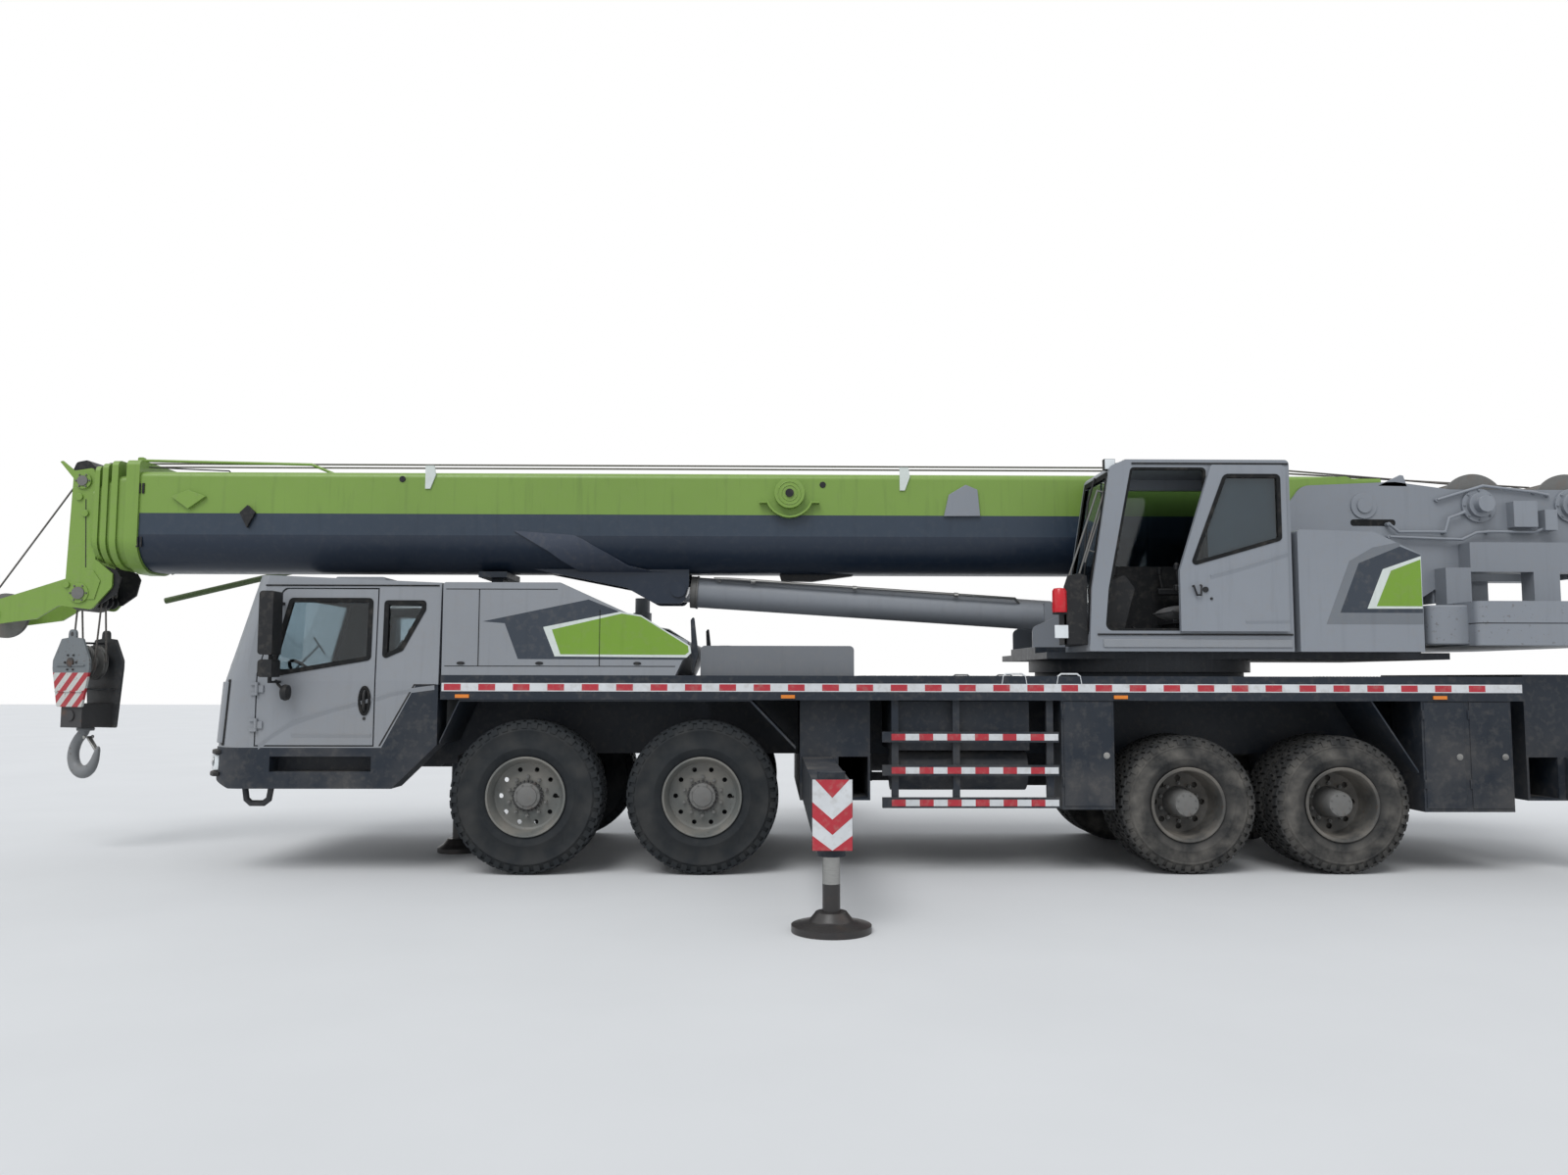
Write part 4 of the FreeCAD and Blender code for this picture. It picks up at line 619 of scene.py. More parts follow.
def band(piece, points, inward, outward, near, far):
    """A closed strip that runs along an outline, between two surfaces."""
    inner, outer = grown(points, -inward), grown(points, outward)
    count = len(points)
    spots = [work(p) for work in (near, far) for loop in (inner, outer) for p in loop]
    faces = []
    for i in range(count):
        n = (i + 1) % count
        a, b, c, d = 0, count, 2 * count, 3 * count
        faces += [(a + i, a + n, b + n, b + i), (c + i, d + i, d + n, c + n),
                  (a + i, c + i, c + n, a + n), (b + i, b + n, d + n, d + i)]
    piece.add(spots, faces)


# Wheels.


def ribbed_tyre(piece, inner, outer, radius, bead, lugs):
    """A tyre's body with raised rings on its walls, shoulder lugs and four rows of tread blocks."""
    crown, floor = radius - 0.003, radius - 0.022
    profile = [(inner + 0.03, bead), (inner + 0.008, bead + 0.03), (inner + 0.002, bead + 0.07),
               (inner - 0.001, bead + 0.075), (inner - 0.001, bead + 0.085), (inner + 0.002, bead + 0.09),
               (inner, (radius + bead) / 2), (inner + 0.003, radius - 0.105), (inner, radius - 0.1),
               (inner, radius - 0.09), (inner + 0.006, radius - 0.085), (inner + 0.018, radius - 0.045),
               (inner + 0.04, floor)]
    flipped = [(outer + inner - along, r) for along, r in reversed(profile)]
    piece.turned(profile + flipped, (0, 0, 0), "y", 96, closed=True)
    width = outer - inner
    pitch = 2 * pi / lugs
    rows = [(0.05, 0.27, 0.06), (0.29, 0.49, 0.02), (0.51, 0.71, -0.02), (0.73, 0.95, -0.06)]
    for k in range(lugs):
        for row, (start, end, skew) in enumerate(rows):
            shift = 0.5 * (row % 2) + 0.25
            low, high = inner + width * start, inner + width * end
            corners = []
            for r, trim in ((floor - 0.006, 0.0), (crown, 0.05)):
                for y, lean in ((low, -skew), (high, skew)):
                    drop = 0.008 if (row in (0, 3) and (y in (low, high)) and r == crown
                                     and (y < inner + 0.08 or y > outer - 0.08)) else 0
                    for edge in (0.09 + trim, 0.91 - trim):
                        turn = (k + shift + edge + lean) * pitch
                        corners.append(((r - drop) * cos(turn), y, (r - drop) * sin(turn)))
            piece.add(corners, BOX_FACES)
        for wall, away in ((inner, 1), (outer, -1)):
            turn, span = (k + 0.25) * pitch, pitch * 0.3
            corners = []
            for r, y in ((radius - 0.075, wall + away * 0.003), (radius - 0.022, wall + away * 0.012)):
                for deep in (0.0, 0.012):
                    for t in (turn - span, turn + span):
                        corners.append((r * cos(t), y + away * deep, r * sin(t)))
            piece.add(corners, BOX_FACES)


def drilled(piece, count, ring, hole, low, high):
    """Cut a ring of round holes through a turned form along the wheel's axis."""
    data = bpy.data.meshes.new("blank")
    bmesh.ops.recalc_face_normals(piece.mesh, faces=piece.mesh.faces)
    piece.mesh.to_mesh(data)
    blank = bpy.data.objects.new("blank", data)
    drills = Piece()
    for turn in circle(count):
        drills.turned([(low, hole), (high, hole)], (ring * cos(turn), 0, ring * sin(turn)), "y", 20)
    tool = bpy.data.objects.new("drills", stock(drills, "drills"))
    for item in (blank, tool):
        bpy.context.scene.collection.objects.link(item)
    work = blank.modifiers.new("holes", "BOOLEAN")
    work.object = tool
    work.operation = "DIFFERENCE"
    work.solver = "EXACT"
    bpy.context.view_layer.update()
    made = bpy.data.meshes.new_from_object(blank.evaluated_get(bpy.context.evaluated_depsgraph_get()))
    piece.mesh.clear()
    piece.mesh.from_mesh(made)
    for item in (blank, tool):
        bpy.data.objects.remove(item)


def bolt_ring(piece, count, ring, at_y, size, height):
    for k in range(count):
        turn = 2 * pi * (k + 0.5) / count
        piece.nut((ring * cos(turn), at_y, ring * sin(turn)), "y", size, -height)


def front_rim():
    """A wide flange, a disc set well in with ten holes, and a rolled lip."""
    piece = Piece()
    profile = [(-1.358, 0.338), (-1.384, 0.345), (-1.389, 0.339), (-1.387, 0.328), (-1.372, 0.322),
               (-1.33, 0.304), (-1.3, 0.296), (-1.275, 0.29), (-1.262, 0.272), (-1.262, 0.215),
               (-1.268, 0.205), (-1.272, 0.15), (-1.272, 0.1), (-1.252, 0.1), (-1.252, 0.15),
               (-1.246, 0.205), (-1.242, 0.27), (-1.2, 0.29), (-1.05, 0.3), (-1.03, 0.325), (-1.015, 0.338),
               (-1.04, 0.334), (-1.08, 0.312), (-1.3, 0.308)]
    piece.turned(profile, (0, 0, 0), "y", 96, closed=True)
    drilled(piece, 10, 0.236, 0.021, -1.3, -1.2)
    return piece


def front_hub():
    piece = Piece()
    piece.turned([(-1.1, 0.14), (-1.262, 0.14), (-1.275, 0.128), (-1.285, 0.118), (-1.318, 0.112),
                  (-1.322, 0.09), (-1.33, 0.084), (-1.336, 0.05), (-1.338, 0.0)], (0, 0, 0), "y", 48)
    bolt_ring(piece, 10, 0.1675, -1.27, 0.0165, 0.028)
    bolt_ring(piece, 8, 0.1, -1.318, 0.008, 0.008)
    return piece


def front_guard():
    """The dark toothed ring round the hub cap."""
    piece = Piece()
    half = 0.055
    for turn in circle(24):
        corners = []
        for r in (0.112, 0.137):
            for y in (-1.275, -1.3):
                for t in (turn - half, turn + half):
                    corners.append((r * cos(t), y, r * sin(t)))
        piece.add(corners, BOX_FACES)
    return piece


def rear_rim():
    """A thin pale lip round a deep dish with eight holes, and the inner rim behind it."""
    piece = Piece()
    profile = [(-1.33, 0.318), (-1.353, 0.325), (-1.359, 0.318), (-1.355, 0.3), (-1.34, 0.292),
               (-1.2, 0.283), (-1.12, 0.274), (-1.098, 0.262), (-1.088, 0.235), (-1.084, 0.16),
               (-1.084, 0.12), (-1.068, 0.12), (-1.068, 0.16), (-1.07, 0.24), (-1.078, 0.29), (-1.065, 0.318),
               (-1.08, 0.32), (-1.1, 0.3), (-1.3, 0.305)]
    piece.turned(profile, (0, 0, 0), "y", 96, closed=True)
    drilled(piece, 8, 0.212, 0.026, -1.2, -1.0)
    return piece


def rear_inner_rim():
    piece = Piece()
    piece.turned([(-1.018, 0.315), (-1.0, 0.29), (-0.8, 0.285), (-0.745, 0.3), (-0.722, 0.32), (-0.73, 0.324),
                  (-0.76, 0.305), (-0.98, 0.302)], (0, 0, 0), "y", 72, closed=True)
    piece.turned([(-1.06, 0.16), (-1.04, 0.24), (-1.0, 0.288), (-0.985, 0.288), (-1.03, 0.235),
                  (-1.045, 0.16)],
                 (0, 0, 0), "y", 72, closed=True)
    return piece


def rear_hub():
    piece = Piece()
    piece.turned([(-0.71, 0.14), (-1.09, 0.14), (-1.115, 0.128), (-1.3, 0.112), (-1.318, 0.1), (-1.322, 0.06),
                  (-1.325, 0.0)], (0, 0, 0), "y", 48)
    bolt_ring(piece, 10, 0.1675, -1.086, 0.0165, 0.03)
    bolt_ring(piece, 8, 0.085, -1.32, 0.007, 0.006)
    return piece


def stock(piece, name):
    """A piece's finished mesh, which several objects may share."""
    bmesh.ops.recalc_face_normals(piece.mesh, faces=piece.mesh.faces)
    data = bpy.data.meshes.new(name)
    piece.mesh.to_mesh(data)
    piece.mesh.free()
    return data


def make_wheels():
    front_tyre, rear_tyre = Piece(), Piece()
    ribbed_tyre(front_tyre, -1.389, -1.011, FRONT_TYRE, 0.338, 44)
    for inner in (-1.359, -1.019):
        ribbed_tyre(rear_tyre, inner, inner + 0.298, REAR_TYRE, 0.32, 42)
    front = [("tyre", stock(front_tyre, "front_tyre"), "front_tyre"),
             ("rim", stock(front_rim(), "front_rim"), "rim"), ("hub", stock(front_hub(), "front_hub"), "hub"),
             ("guard", stock(front_guard(), "guard"), "iron")]
    rear = [("tyres", stock(rear_tyre, "rear_tyres"), "rear_tyre"),
            # The rear rims and inner rims take the darker copy of the rim paint, painted shade for the deep
            # dish.
            ("rim", stock(rear_rim(), "rear_rim"), "rim_shaded"),
            ("inner_rim", stock(rear_inner_rim(), "inner_rim"), "rim_shaded"),
            ("hub", stock(rear_hub(), "rear_hub"), "hub")]
    for word, x in AXLES.items():
        radius, kind = (FRONT_TYRE, front) if word in ("one", "two") else (REAR_TYRE, rear)
        for side, hand in SIDES:
            node = f"wheel_{word}_{hand}"
            turn = 0.0 if side == LEFT else pi
            for part, data, look in kind:
                placed(data, f"{node}_{part}", node, look, 0, 35, (x + AXLE_ONE, 0, radius), turn,
                       [node] if part.startswith("tyre") else [])


make_wheels()


# Livery, tape and chevron plates.

HOOD_BAND = [(-0.396, 2.178), (0.52, 2.371), (0.773, 2.272), (0.79, 2.24), (0.129, 2.118), (0.232, 1.88),
             (1.379, 1.877), (1.349, 1.848), (-0.086, 1.852), (-0.206, 2.163)]
HOOD_WHITE = [(0.129, 2.13), (0.796, 2.265), (0.979, 2.235), (1.408, 1.969), (1.417, 1.908), (1.379, 1.867),
              (0.232, 1.875)]
HOOD_GREEN = [(0.205, 2.108), (0.811, 2.249), (0.979, 2.222), (1.389, 1.968), (1.396, 1.915), (1.365, 1.891),
              (0.282, 1.893)]
COVER_BAND = [(7.113, 2.272), (7.292, 2.711), (7.664, 2.86), (7.845, 2.785), (7.845, 2.272)]
COVER_SHADE = [(6.989, 2.172), (7.21, 2.73), (7.42, 2.85), (7.664, 2.9), (7.664, 2.86), (7.292, 2.711),
               (7.113, 2.272), (7.845, 2.272), (7.845, 2.172)]
COVER_WHITE = [(7.355, 2.309), (7.503, 2.658), (7.845, 2.775), (7.843, 2.31)]
COVER_GREEN = [(7.437, 2.331), (7.575, 2.645), (7.84, 2.745), (7.84, 2.331)]
HOOD_SIDE = COVER_SIDE = 1.39


def decal(name, body, look, outline, face, layer, sides=SIDES):
    """A thin sheet stuck on a flat side, one layer above another."""
    for side, hand in sides:
        piece = Piece()
        piece.side_plate(outline, side * (face - 0.001), side * (face + 0.0012 * layer))
        piece.done(f"{name}_{hand}", body, look)


for word, look, outline, layer in (("band", "navy", HOOD_BAND, 1), ("white", "white", HOOD_WHITE, 2),
                                   ("green", "lime", HOOD_GREEN, 3)):
    decal(f"hood_{word}", "carrier", look, outline, HOOD_SIDE, layer)
for word, look, outline, layer in (("shade", "mid", COVER_SHADE, 1), ("band", "navy", COVER_BAND, 1),
                                   ("white", "white", COVER_WHITE, 2), ("green", "lime", COVER_GREEN, 3)):
    decal(f"cover_{word}", "upper", look, outline, COVER_SIDE, layer, SIDES[:1])


def deck_tape():
    """The white strip along the deck's edge, with its red patches."""
    for side, hand in SIDES:
        strip, patches = Piece(), Piece()
        strip.box((-0.74, 8.69), (side * 1.3895, side * 1.3915), (1.572, 1.644))
        x = -0.72
        while x < 8.5:
            patches.box((x, x + 0.145), (side * 1.3895, side * 1.3925), (1.58, 1.636))
            x += 0.298
        strip.done(f"deck_tape_{hand}", "carrier", "pale")
        patches.done(f"deck_patches_{hand}", "carrier", "red")


def rail_tape():
    """Red and white patches on the three side rails."""
    for side, hand in SIDES:
        red, pale = Piece(), Piece()
        for z in (1.182, 0.895, 0.617):
            for i in range(6):
                x = 3.16 + i * 0.242
                for piece, start in ((red, x), (pale, x + 0.121)):
                    piece.box((start, start + 0.121), (side * 1.3745, side * 1.377), (z - 0.028, z + 0.028))
        red.done(f"rail_red_{hand}", "carrier", "red")
        pale.done(f"rail_white_{hand}", "carrier", "pale")


def beam_signs():
    """Chevron plates on the outriggers' ends: white V shapes on red."""
    low, high, half = 0.552, 1.018, 0.133
    for word, x, side in (("front_left", 2.52, LEFT), ("front_right", 2.84, RIGHT),
                          ("rear_left", 9.3, LEFT), ("rear_right", 8.98, RIGHT)):
        face = side * 3.69
        back, red = Piece(), Piece()
        back.box((x - half, x + half), (face - side * 0.001, face + side * 0.0015), (low, high))
        for top, drop in ((1.018, 0.1), (0.87, 0.1), (0.65, 0.1)):
            rise = 0.115
            if top > 1:
                shape = [(x - half + 0.02, high), (x + half - 0.02, high), (x, high - 0.12)]
            else:
                shape = [(x - half, top), (x, top - rise), (x + half, top), (x + half, top - drop),
                         (x, top - rise - drop), (x - half, top - drop)]
            red.side_plate([(a, max(low, b)) for a, b in shape], face - side * 0.001, face + side * 0.003)
        back.done(f"sign_{word}", f"beam_{word}", "pale")
        red.done(f"chevron_{word}", f"beam_{word}", "red")


deck_tape()
rail_tape()
beam_signs()


# Carrier cab.

WAIST, ROOF = 1.66, 2.6
CAB_SIDE, NOSE_ROUND = 1.39, 0.33
CAB_DOOR_WINDOW = [(-2.235, 1.7, 0.03), (-2.075, 2.37, 0.03), (-1.37, 2.37, 0.03), (-1.37, 1.85, 0.03)]
QUARTER_WINDOW = [(-1.25, 2.35, 0.02), (-0.91, 2.35, 0.02), (-0.91, 2.28, 0.02), (-1.095, 1.93, 0.02),
                  (-1.25, 1.86, 0.02)]
SCREEN = [(-1.15, 1.74, 0.06), (1.15, 1.74, 0.06), (1.08, 2.47, 0.06), (-1.08, 2.47, 0.06)]


def flank(z):
    """How far out the cab's side stands at a height."""
    return CAB_SIDE - max(0.0, z - WAIST) * 0.045 / (ROOF - WAIST)


def nose(y, z):
    """Where the cab's front stands, with its round corners."""
    front = -2.72 + (z - WAIST) * (0.29 / 0.94 if z > WAIST else 0.0696)
    over = abs(y) - (CAB_SIDE - NOSE_ROUND)
    return front + (NOSE_ROUND - sqrt(max(0.0, NOSE_ROUND ** 2 - over ** 2)) if over > 0 else 0.0)


def window_seal(name, body, outline, look="rubber", inward=0.028, outward=0.012, proud=0.006):
    for side, hand in SIDES:
        piece = Piece()
        band(piece, rounded(outline), inward, outward,
             lambda p: (p[0], side * (flank(p[1]) - 0.03), p[1]),
             lambda p: (p[0], side * (flank(p[1]) + proud), p[1]))
        piece.done(f"{name}_{hand}", body if body == "carrier" else f"{body}_{hand}", look)


def cab_windows():
    window_seal("door_seal", "door", CAB_DOOR_WINDOW)
    window_seal("quarter_seal", "carrier", QUARTER_WINDOW)
    for side, hand in SIDES:
        pane = Piece()
        pane.slab(grown(rounded(CAB_DOOR_WINDOW), -0.004),
                  lambda p: (p[0], side * (flank(p[1]) - 0.024), p[1]),
                  lambda p: (p[0], side * (flank(p[1]) - 0.018), p[1]))
        pane.done(f"door_pane_{hand}", f"door_{hand}", "glass")
    seal = Piece()
    band(seal, rounded(SCREEN, 8), 0.03, 0.012,
         lambda p: (nose(*p) + 0.035, p[0], p[1]), lambda p: (nose(*p) - 0.005, p[0], p[1]))
    seal.done("screen_seal", "carrier", "rubber")


cab_windows()


def crease(piece, line, side, face, drop=0.03, proud=0.008):
    """A pressed fold in a flat side: a shelf that stands out along a line and fades below it."""
    count = len(line)
    spots = [(x, side * (face - 0.002), z) for x, z in line]
    spots += [(x, side * (face + proud), z - 0.004) for x, z in line]
    spots += [(x, side * (face - 0.002), z - drop) for x, z in line]
    faces = [(0, count, 2 * count), (count - 1, 3 * count - 1, 2 * count - 1)]
    for i in range(count - 1):
        for start in (0, count, 2 * count):
            after = (start + count) % (3 * count)
            faces.append((start + i, start + i + 1, after + i + 1, after + i))
    piece.add(spots, faces)


def nose_spot(y, z, proud=0.0):
    """A point on the cab's front or its round corner, moved straight out by proud."""
    over = abs(y) - 1.06
    x = nose(y, z)
    lean = min(0.99, max(0.0, over / NOSE_ROUND))
    return (x - proud * sqrt(1 - lean * lean), y + copysign(proud * lean, y), z)


def nose_strip(piece, start, end, z, proud, steps=10, sink=0.02):
    """A strip that wraps round the cab's nose between two y, low and high at z."""
    rows = []
    for i in range(steps + 1):
        y = start + (end - start) * i / steps
        rows.append([nose_spot(y, z[0], -sink), nose_spot(y, z[0], proud), nose_spot(y, z[1], proud),
                     nose_spot(y, z[1], -sink)])
    faces = [(0, 1, 2, 3), tuple(4 * steps + k for k in (3, 2, 1, 0))]
    for i in range(steps):
        for k in range(4):
            n = (k + 1) % 4
            faces.append((4 * i + k, 4 * i + 4 + k, 4 * i + 4 + n, 4 * i + n))
    piece.add([spot for row in rows for spot in row], faces)


def oval(centre, half_x, half_z, count=28):
    return [(centre[0] + half_x * cos(t), centre[1] + half_z * sin(t)) for t in circle(count)]


CREASE_DOOR = [(-2.3, 1.11), (-2.18, 1.21), (-2.0, 1.32), (-1.668, 1.43), (-1.333, 1.515)]
CREASE_SHELL = [(-1.3, 1.523), (-1.166, 1.566), (-0.99, 1.6), (-0.8, 1.625)]


def cab_door_trim():
    """Folds, sill ledge, handle, keyhole, small round mirror and gutter on each door."""
    for side, hand in SIDES:
        body = f"door_{hand}"
        fold = Piece()
        crease(fold, CREASE_DOOR, side, CAB_SIDE, 0.05, 0.009)
        crease(fold, [(-2.02, 1.205), (-1.34, 1.205)], side, CAB_SIDE, 0.045, 0.007)
        fold.done(f"door_fold_{hand}", body, "body", smooth=20)
        ring, bar = Piece(), Piece()
        band(ring, oval((-1.4, 1.489), 0.05, 0.125), 0.018, 0.004,
             lambda p: (p[0], side * 1.386, p[1]), lambda p: (p[0], side * 1.401, p[1]))
        ring.side_plate(oval((-1.4, 1.489), 0.045, 0.12), side * 1.388, side * 1.3915)
        grip = [(-1.4, side * 1.392, 1.575), (-1.4, side * 1.41, 1.555), (-1.402, side * 1.413, 1.49),
                (-1.4, side * 1.41, 1.425), (-1.4, side * 1.392, 1.405)]
        bar.tube(grip, 0.014, 12)
        bar.turned([(0, 0.013), (side * 0.006, 0.013), (side * 0.006, 0.0)], (-1.4, side * 1.39, 1.335), "y",
                   16)
        ring.done(f"handle_dish_{hand}", body, "rubber", smooth=50)
        bar.done(f"handle_bar_{hand}", body, "trim", smooth=60)
        arm = Piece()
        arm.tube([(-2.17, side * 1.385, 1.66), (-2.12, side * 1.46, 1.63), (-2.06, side * 1.5, 1.585)], 0.012,
                 10)
        arm.turned([(-0.03, 0.0), (-0.03, 0.03), (-0.015, 0.062), (0.01, 0.07), (0.035, 0.064), (0.045, 0.04),
                    (0.048, 0.0)], (-2.045, side * 1.505, 1.56), "x", 28)
        arm.done(f"kerb_mirror_{hand}", body, "trim", smooth=50)
        rail = Piece()
        rail.slab([(-2.3, 2.486), (-2.3, 2.498), (-0.79, 2.498), (-0.79, 2.486)],
                  lambda p: (p[0], side * (flank(p[1]) - 0.01), p[1]),
                  lambda p: (p[0], side * (flank(p[1]) + 0.006), p[1]))
        rail.done(f"gutter_{hand}", "carrier", "rubber")
        shell = Piece()
        crease(shell, CREASE_SHELL, side, CAB_SIDE, 0.05, 0.009)
        shell.done(f"shell_fold_{hand}", "carrier", "body", smooth=20)
        edge = Piece()
        edge.side_plate([(-1.27, 1.1), (-0.98, 1.632), (-0.785, 1.632), (-0.785, 1.62), (-0.972, 1.62),
                         (-1.255, 1.1)], side * 1.388, side * 1.3925)
        edge.done(f"heel_edge_{hand}", "carrier", "trim")


def cab_nose():
    """Corner fairings, headlamps with their brow and lip, wipers, blank plate and roof beacon."""
    for side, hand in SIDES:
        fairing, seam, lamp, brow = Piece(), Piece(), Piece(), Piece()
        nose_strip(fairing, side * 1.1, side * 1.3, (1.12, 1.65), 0.018, 12)
        nose_strip(seam, side * 1.302, side * 1.318, (1.1, 1.67), 0.004, 2)
        nose_strip(lamp, side * 0.85, side * 1.27, (0.885, 1.015), 0.022, 14)
        nose_strip(brow, side * 0.8, side * 1.3, (1.025, 1.06), 0.045, 14)
        nose_strip(brow, side * 0.8, side * 1.3, (0.835, 0.872), 0.045, 14)
        fairing.done(f"fairing_{hand}", "carrier", "body", 0.006)
        seam.done(f"fairing_seam_{hand}", "carrier", "rubber")
        lamp.done(f"headlamp_glass_{hand}", "carrier", "clear_lens", 0.006)
        brow.done(f"lamp_brow_{hand}", "carrier", "trim", 0.008)
        bowls = Piece()
        for y in (0.94, 1.06, 1.17):
            spot = nose_spot(side * y, 0.95, 0.02)
            bowls.turned([(-0.006, 0.0), (-0.006, 0.042), (0.004, 0.05), (0.01, 0.05), (0.01, 0.0)], spot,
                         "x", 24)
        bowls.done(f"headlamp_rings_{hand}", "carrier", "chrome", smooth=50)
        wiper = Piece()
        root = nose_spot(side * 0.25, 1.7, 0.02)
        tip = nose_spot(side * 0.72, 2.02, 0.03)
        wiper.tube([root, nose_spot(side * 0.3, 1.74, 0.035), tip], 0.009, 8)
        wiper.tube([nose_spot(side * 0.5, 2.1, 0.022), nose_spot(side * 0.94, 1.94, 0.022)], 0.008, 6)
        wiper.turned([(-0.03, 0.0), (-0.03, 0.022), (0.03, 0.022)], root, "x", 16)
        wiper.done(f"wiper_{hand}", "carrier", "trim", smooth=50)
    plate = Piece()
    plate.box((-2.79, -2.775), (-0.22, 0.22), (0.87, 1.0))
    plate.done("blank_plate", "carrier", "pale", 0.003)
    beacon = Piece()
    beacon.turned([(0.0, 0.05), (0.02, 0.05), (0.02, 0.04), (0.085, 0.036), (0.1, 0.024), (0.104, 0.0)],
                  (-0.86, 1.0, 2.5), "z", 24)
    beacon.done("roof_beacon", "carrier", "orange", smooth=40)


cab_door_trim()
cab_nose()


# Operator's cab.

SLIDE_FACE = 1.44
ENTRY = [(5.04, 2.11, 0.06), (5.075, 2.48, 0.25), (5.29, 3.56, 0.04), (5.96, 3.56, 0.04), (5.96, 2.11, 0.03)]
SLIDE_WINDOW = [(5.8, 2.69, 0.02), (6.106, 3.48, 0.05), (6.583, 3.48, 0.03), (6.583, 2.916, 0.03)]


def screen_x(z):
    """The operator cab's front at a height."""
    if z < 2.48:
        return 4.9 + (z - 1.93) * 0.03 / 0.55
    return 4.93 + (z - 2.48) * 0.18 / 1.09


def operator_trim():
    """Gaskets, sliding door's glass, folds and lock, wiper, tracks, roof eyes, hatch, and dark boxes inside
    as painted shade behind the windows.
    """
    gasket = Piece()
    band(gasket, rounded(ENTRY, 7), 0.022, 0.012, lambda p: (p[0], -1.35, p[1]),
         lambda p: (p[0], -1.3895, p[1]))
    gasket.done("entry_gasket", "upper", "rubber")
    seal = Piece()
    band(seal, rounded(SLIDE_WINDOW, 6), 0.02, 0.014,
         lambda p: (p[0], -1.4, p[1]), lambda p: (p[0], -SLIDE_FACE - 0.005, p[1]))
    seal.done("slide_gasket", "operator_door", "rubber")
    pane = Piece()
    pane.side_plate(grown(rounded(SLIDE_WINDOW, 6), -0.002), -1.43, -1.424)
    pane.done("slide_pane", "operator_door", "glass")
    fold = Piece()
    crease(fold, [(5.96, 2.6), (6.2, 2.665), (6.42, 2.73), (6.64, 2.8)], LEFT, SLIDE_FACE, 0.05, 0.009)
    crease(fold, [(6.26, 2.2), (6.64, 2.205)], LEFT, SLIDE_FACE, 0.04, 0.007)
    fold.done("slide_fold", "operator_door", "upper", smooth=20)
    lock = Piece()
    lock.tube([(5.8, -1.44, 2.5), (5.8, -1.465, 2.5), (5.825, -1.468, 2.42), (5.86, -1.468, 2.42),
               (5.868, -1.465, 2.5), (5.868, -1.44, 2.51)], 0.008, 8)
    lock.turned([(0.0, 0.026), (-0.012, 0.024), (-0.014, 0.0)], (5.91, -1.44, 2.47), "y", 20)
    lock.turned([(0.0, 0.012), (-0.008, 0.012), (-0.008, 0.0)], (5.96, -1.44, 2.39), "y", 16)
    lock.done("slide_lock", "operator_door", "trim", smooth=50)
    front = Piece()
    line = [(screen_x(z) - 0.004, z) for z in (2.1, 2.3, 2.48, 2.8, 3.15, 3.51)]
    back = [(x + 0.035, z) for x, z in line[::-1]]
    for y in (-1.325, -0.625):
        front.side_plate(line + back, y - 0.025, y + 0.025)
    for z in (2.1, 3.5):
        front.box((screen_x(z) - 0.006, screen_x(z) + 0.03), (-1.33, -0.62), (z - 0.02, z + 0.025))
    front.done("screen_gasket", "upper", "rubber")
    wiper = Piece()
    wiper.tube([(screen_x(3.5) - 0.01, -0.98, 3.53), (screen_x(3.3) - 0.05, -1.0, 3.3),
                (screen_x(2.75) - 0.03, -1.1, 2.75)], 0.009, 8)
    wiper.tube([(screen_x(3.0) - 0.02, -1.1, 3.02), (screen_x(2.4) - 0.02, -1.12, 2.4)], 0.008, 6)
    wiper.done("operator_wiper", "upper", "trim", smooth=50)
    track = Piece()
    track.box((5.3, 6.69), (-1.4, -1.388), (3.585, 3.6))
    track.box((4.97, 6.69), (-1.4, -1.388), (2.07, 2.085))
    track.done("door_track", "upper", "trim")
    sill = Piece()
    sill.box((5.02, 6.68), (-1.402, -1.388), (1.965, 2.035))
    sill.done("sill_strip", "upper", "body", 0.004)
    ring = Piece()
    for x, y in ((6.5, -1.05), (5.35, -1.05), (6.5, -0.7)):
        loop = [(x + 0.028 * cos(t), y, 3.66 + 0.028 * sin(t)) for t in circle(16)]
        ring.tube(loop, 0.008, 8, closed=True)
        ring.turned([(0, 0.02), (0.012, 0.018), (0.012, 0.0)], (x, y, 3.628), "z", 16)
    ring.done("roof_eyes", "upper", "steel", smooth=50)
    roof = Piece()
    roof.box((5.5, 6.3), (-1.22, -0.74), (3.628, 3.642))
    for x in (5.6, 5.75, 5.9, 6.05, 6.2):
        roof.box((x, x + 0.03), (-1.2, -0.76), (3.64, 3.65))
    roof.done("roof_hatch", "upper", "upper", 0.004)
    # Two black boxes inside the cab are painted shade: they darken what shows through the windows.
    shade_boxes = Piece()
    shade_boxes.box((5.0, 6.64), (-0.625, -0.612), (1.99, 2.75))
    shade_boxes.box((6.63, 6.645), (-1.3, -0.65), (1.99, 3.5))
    shade_boxes.done("operator_shade_boxes", "upper", "trim")


GUARD_RODS = (((4.744, 2.578), (5.021, 3.369)), ((4.831, 2.579), (5.157, 3.6)), ((4.9, 2.74), (5.19, 3.6)))


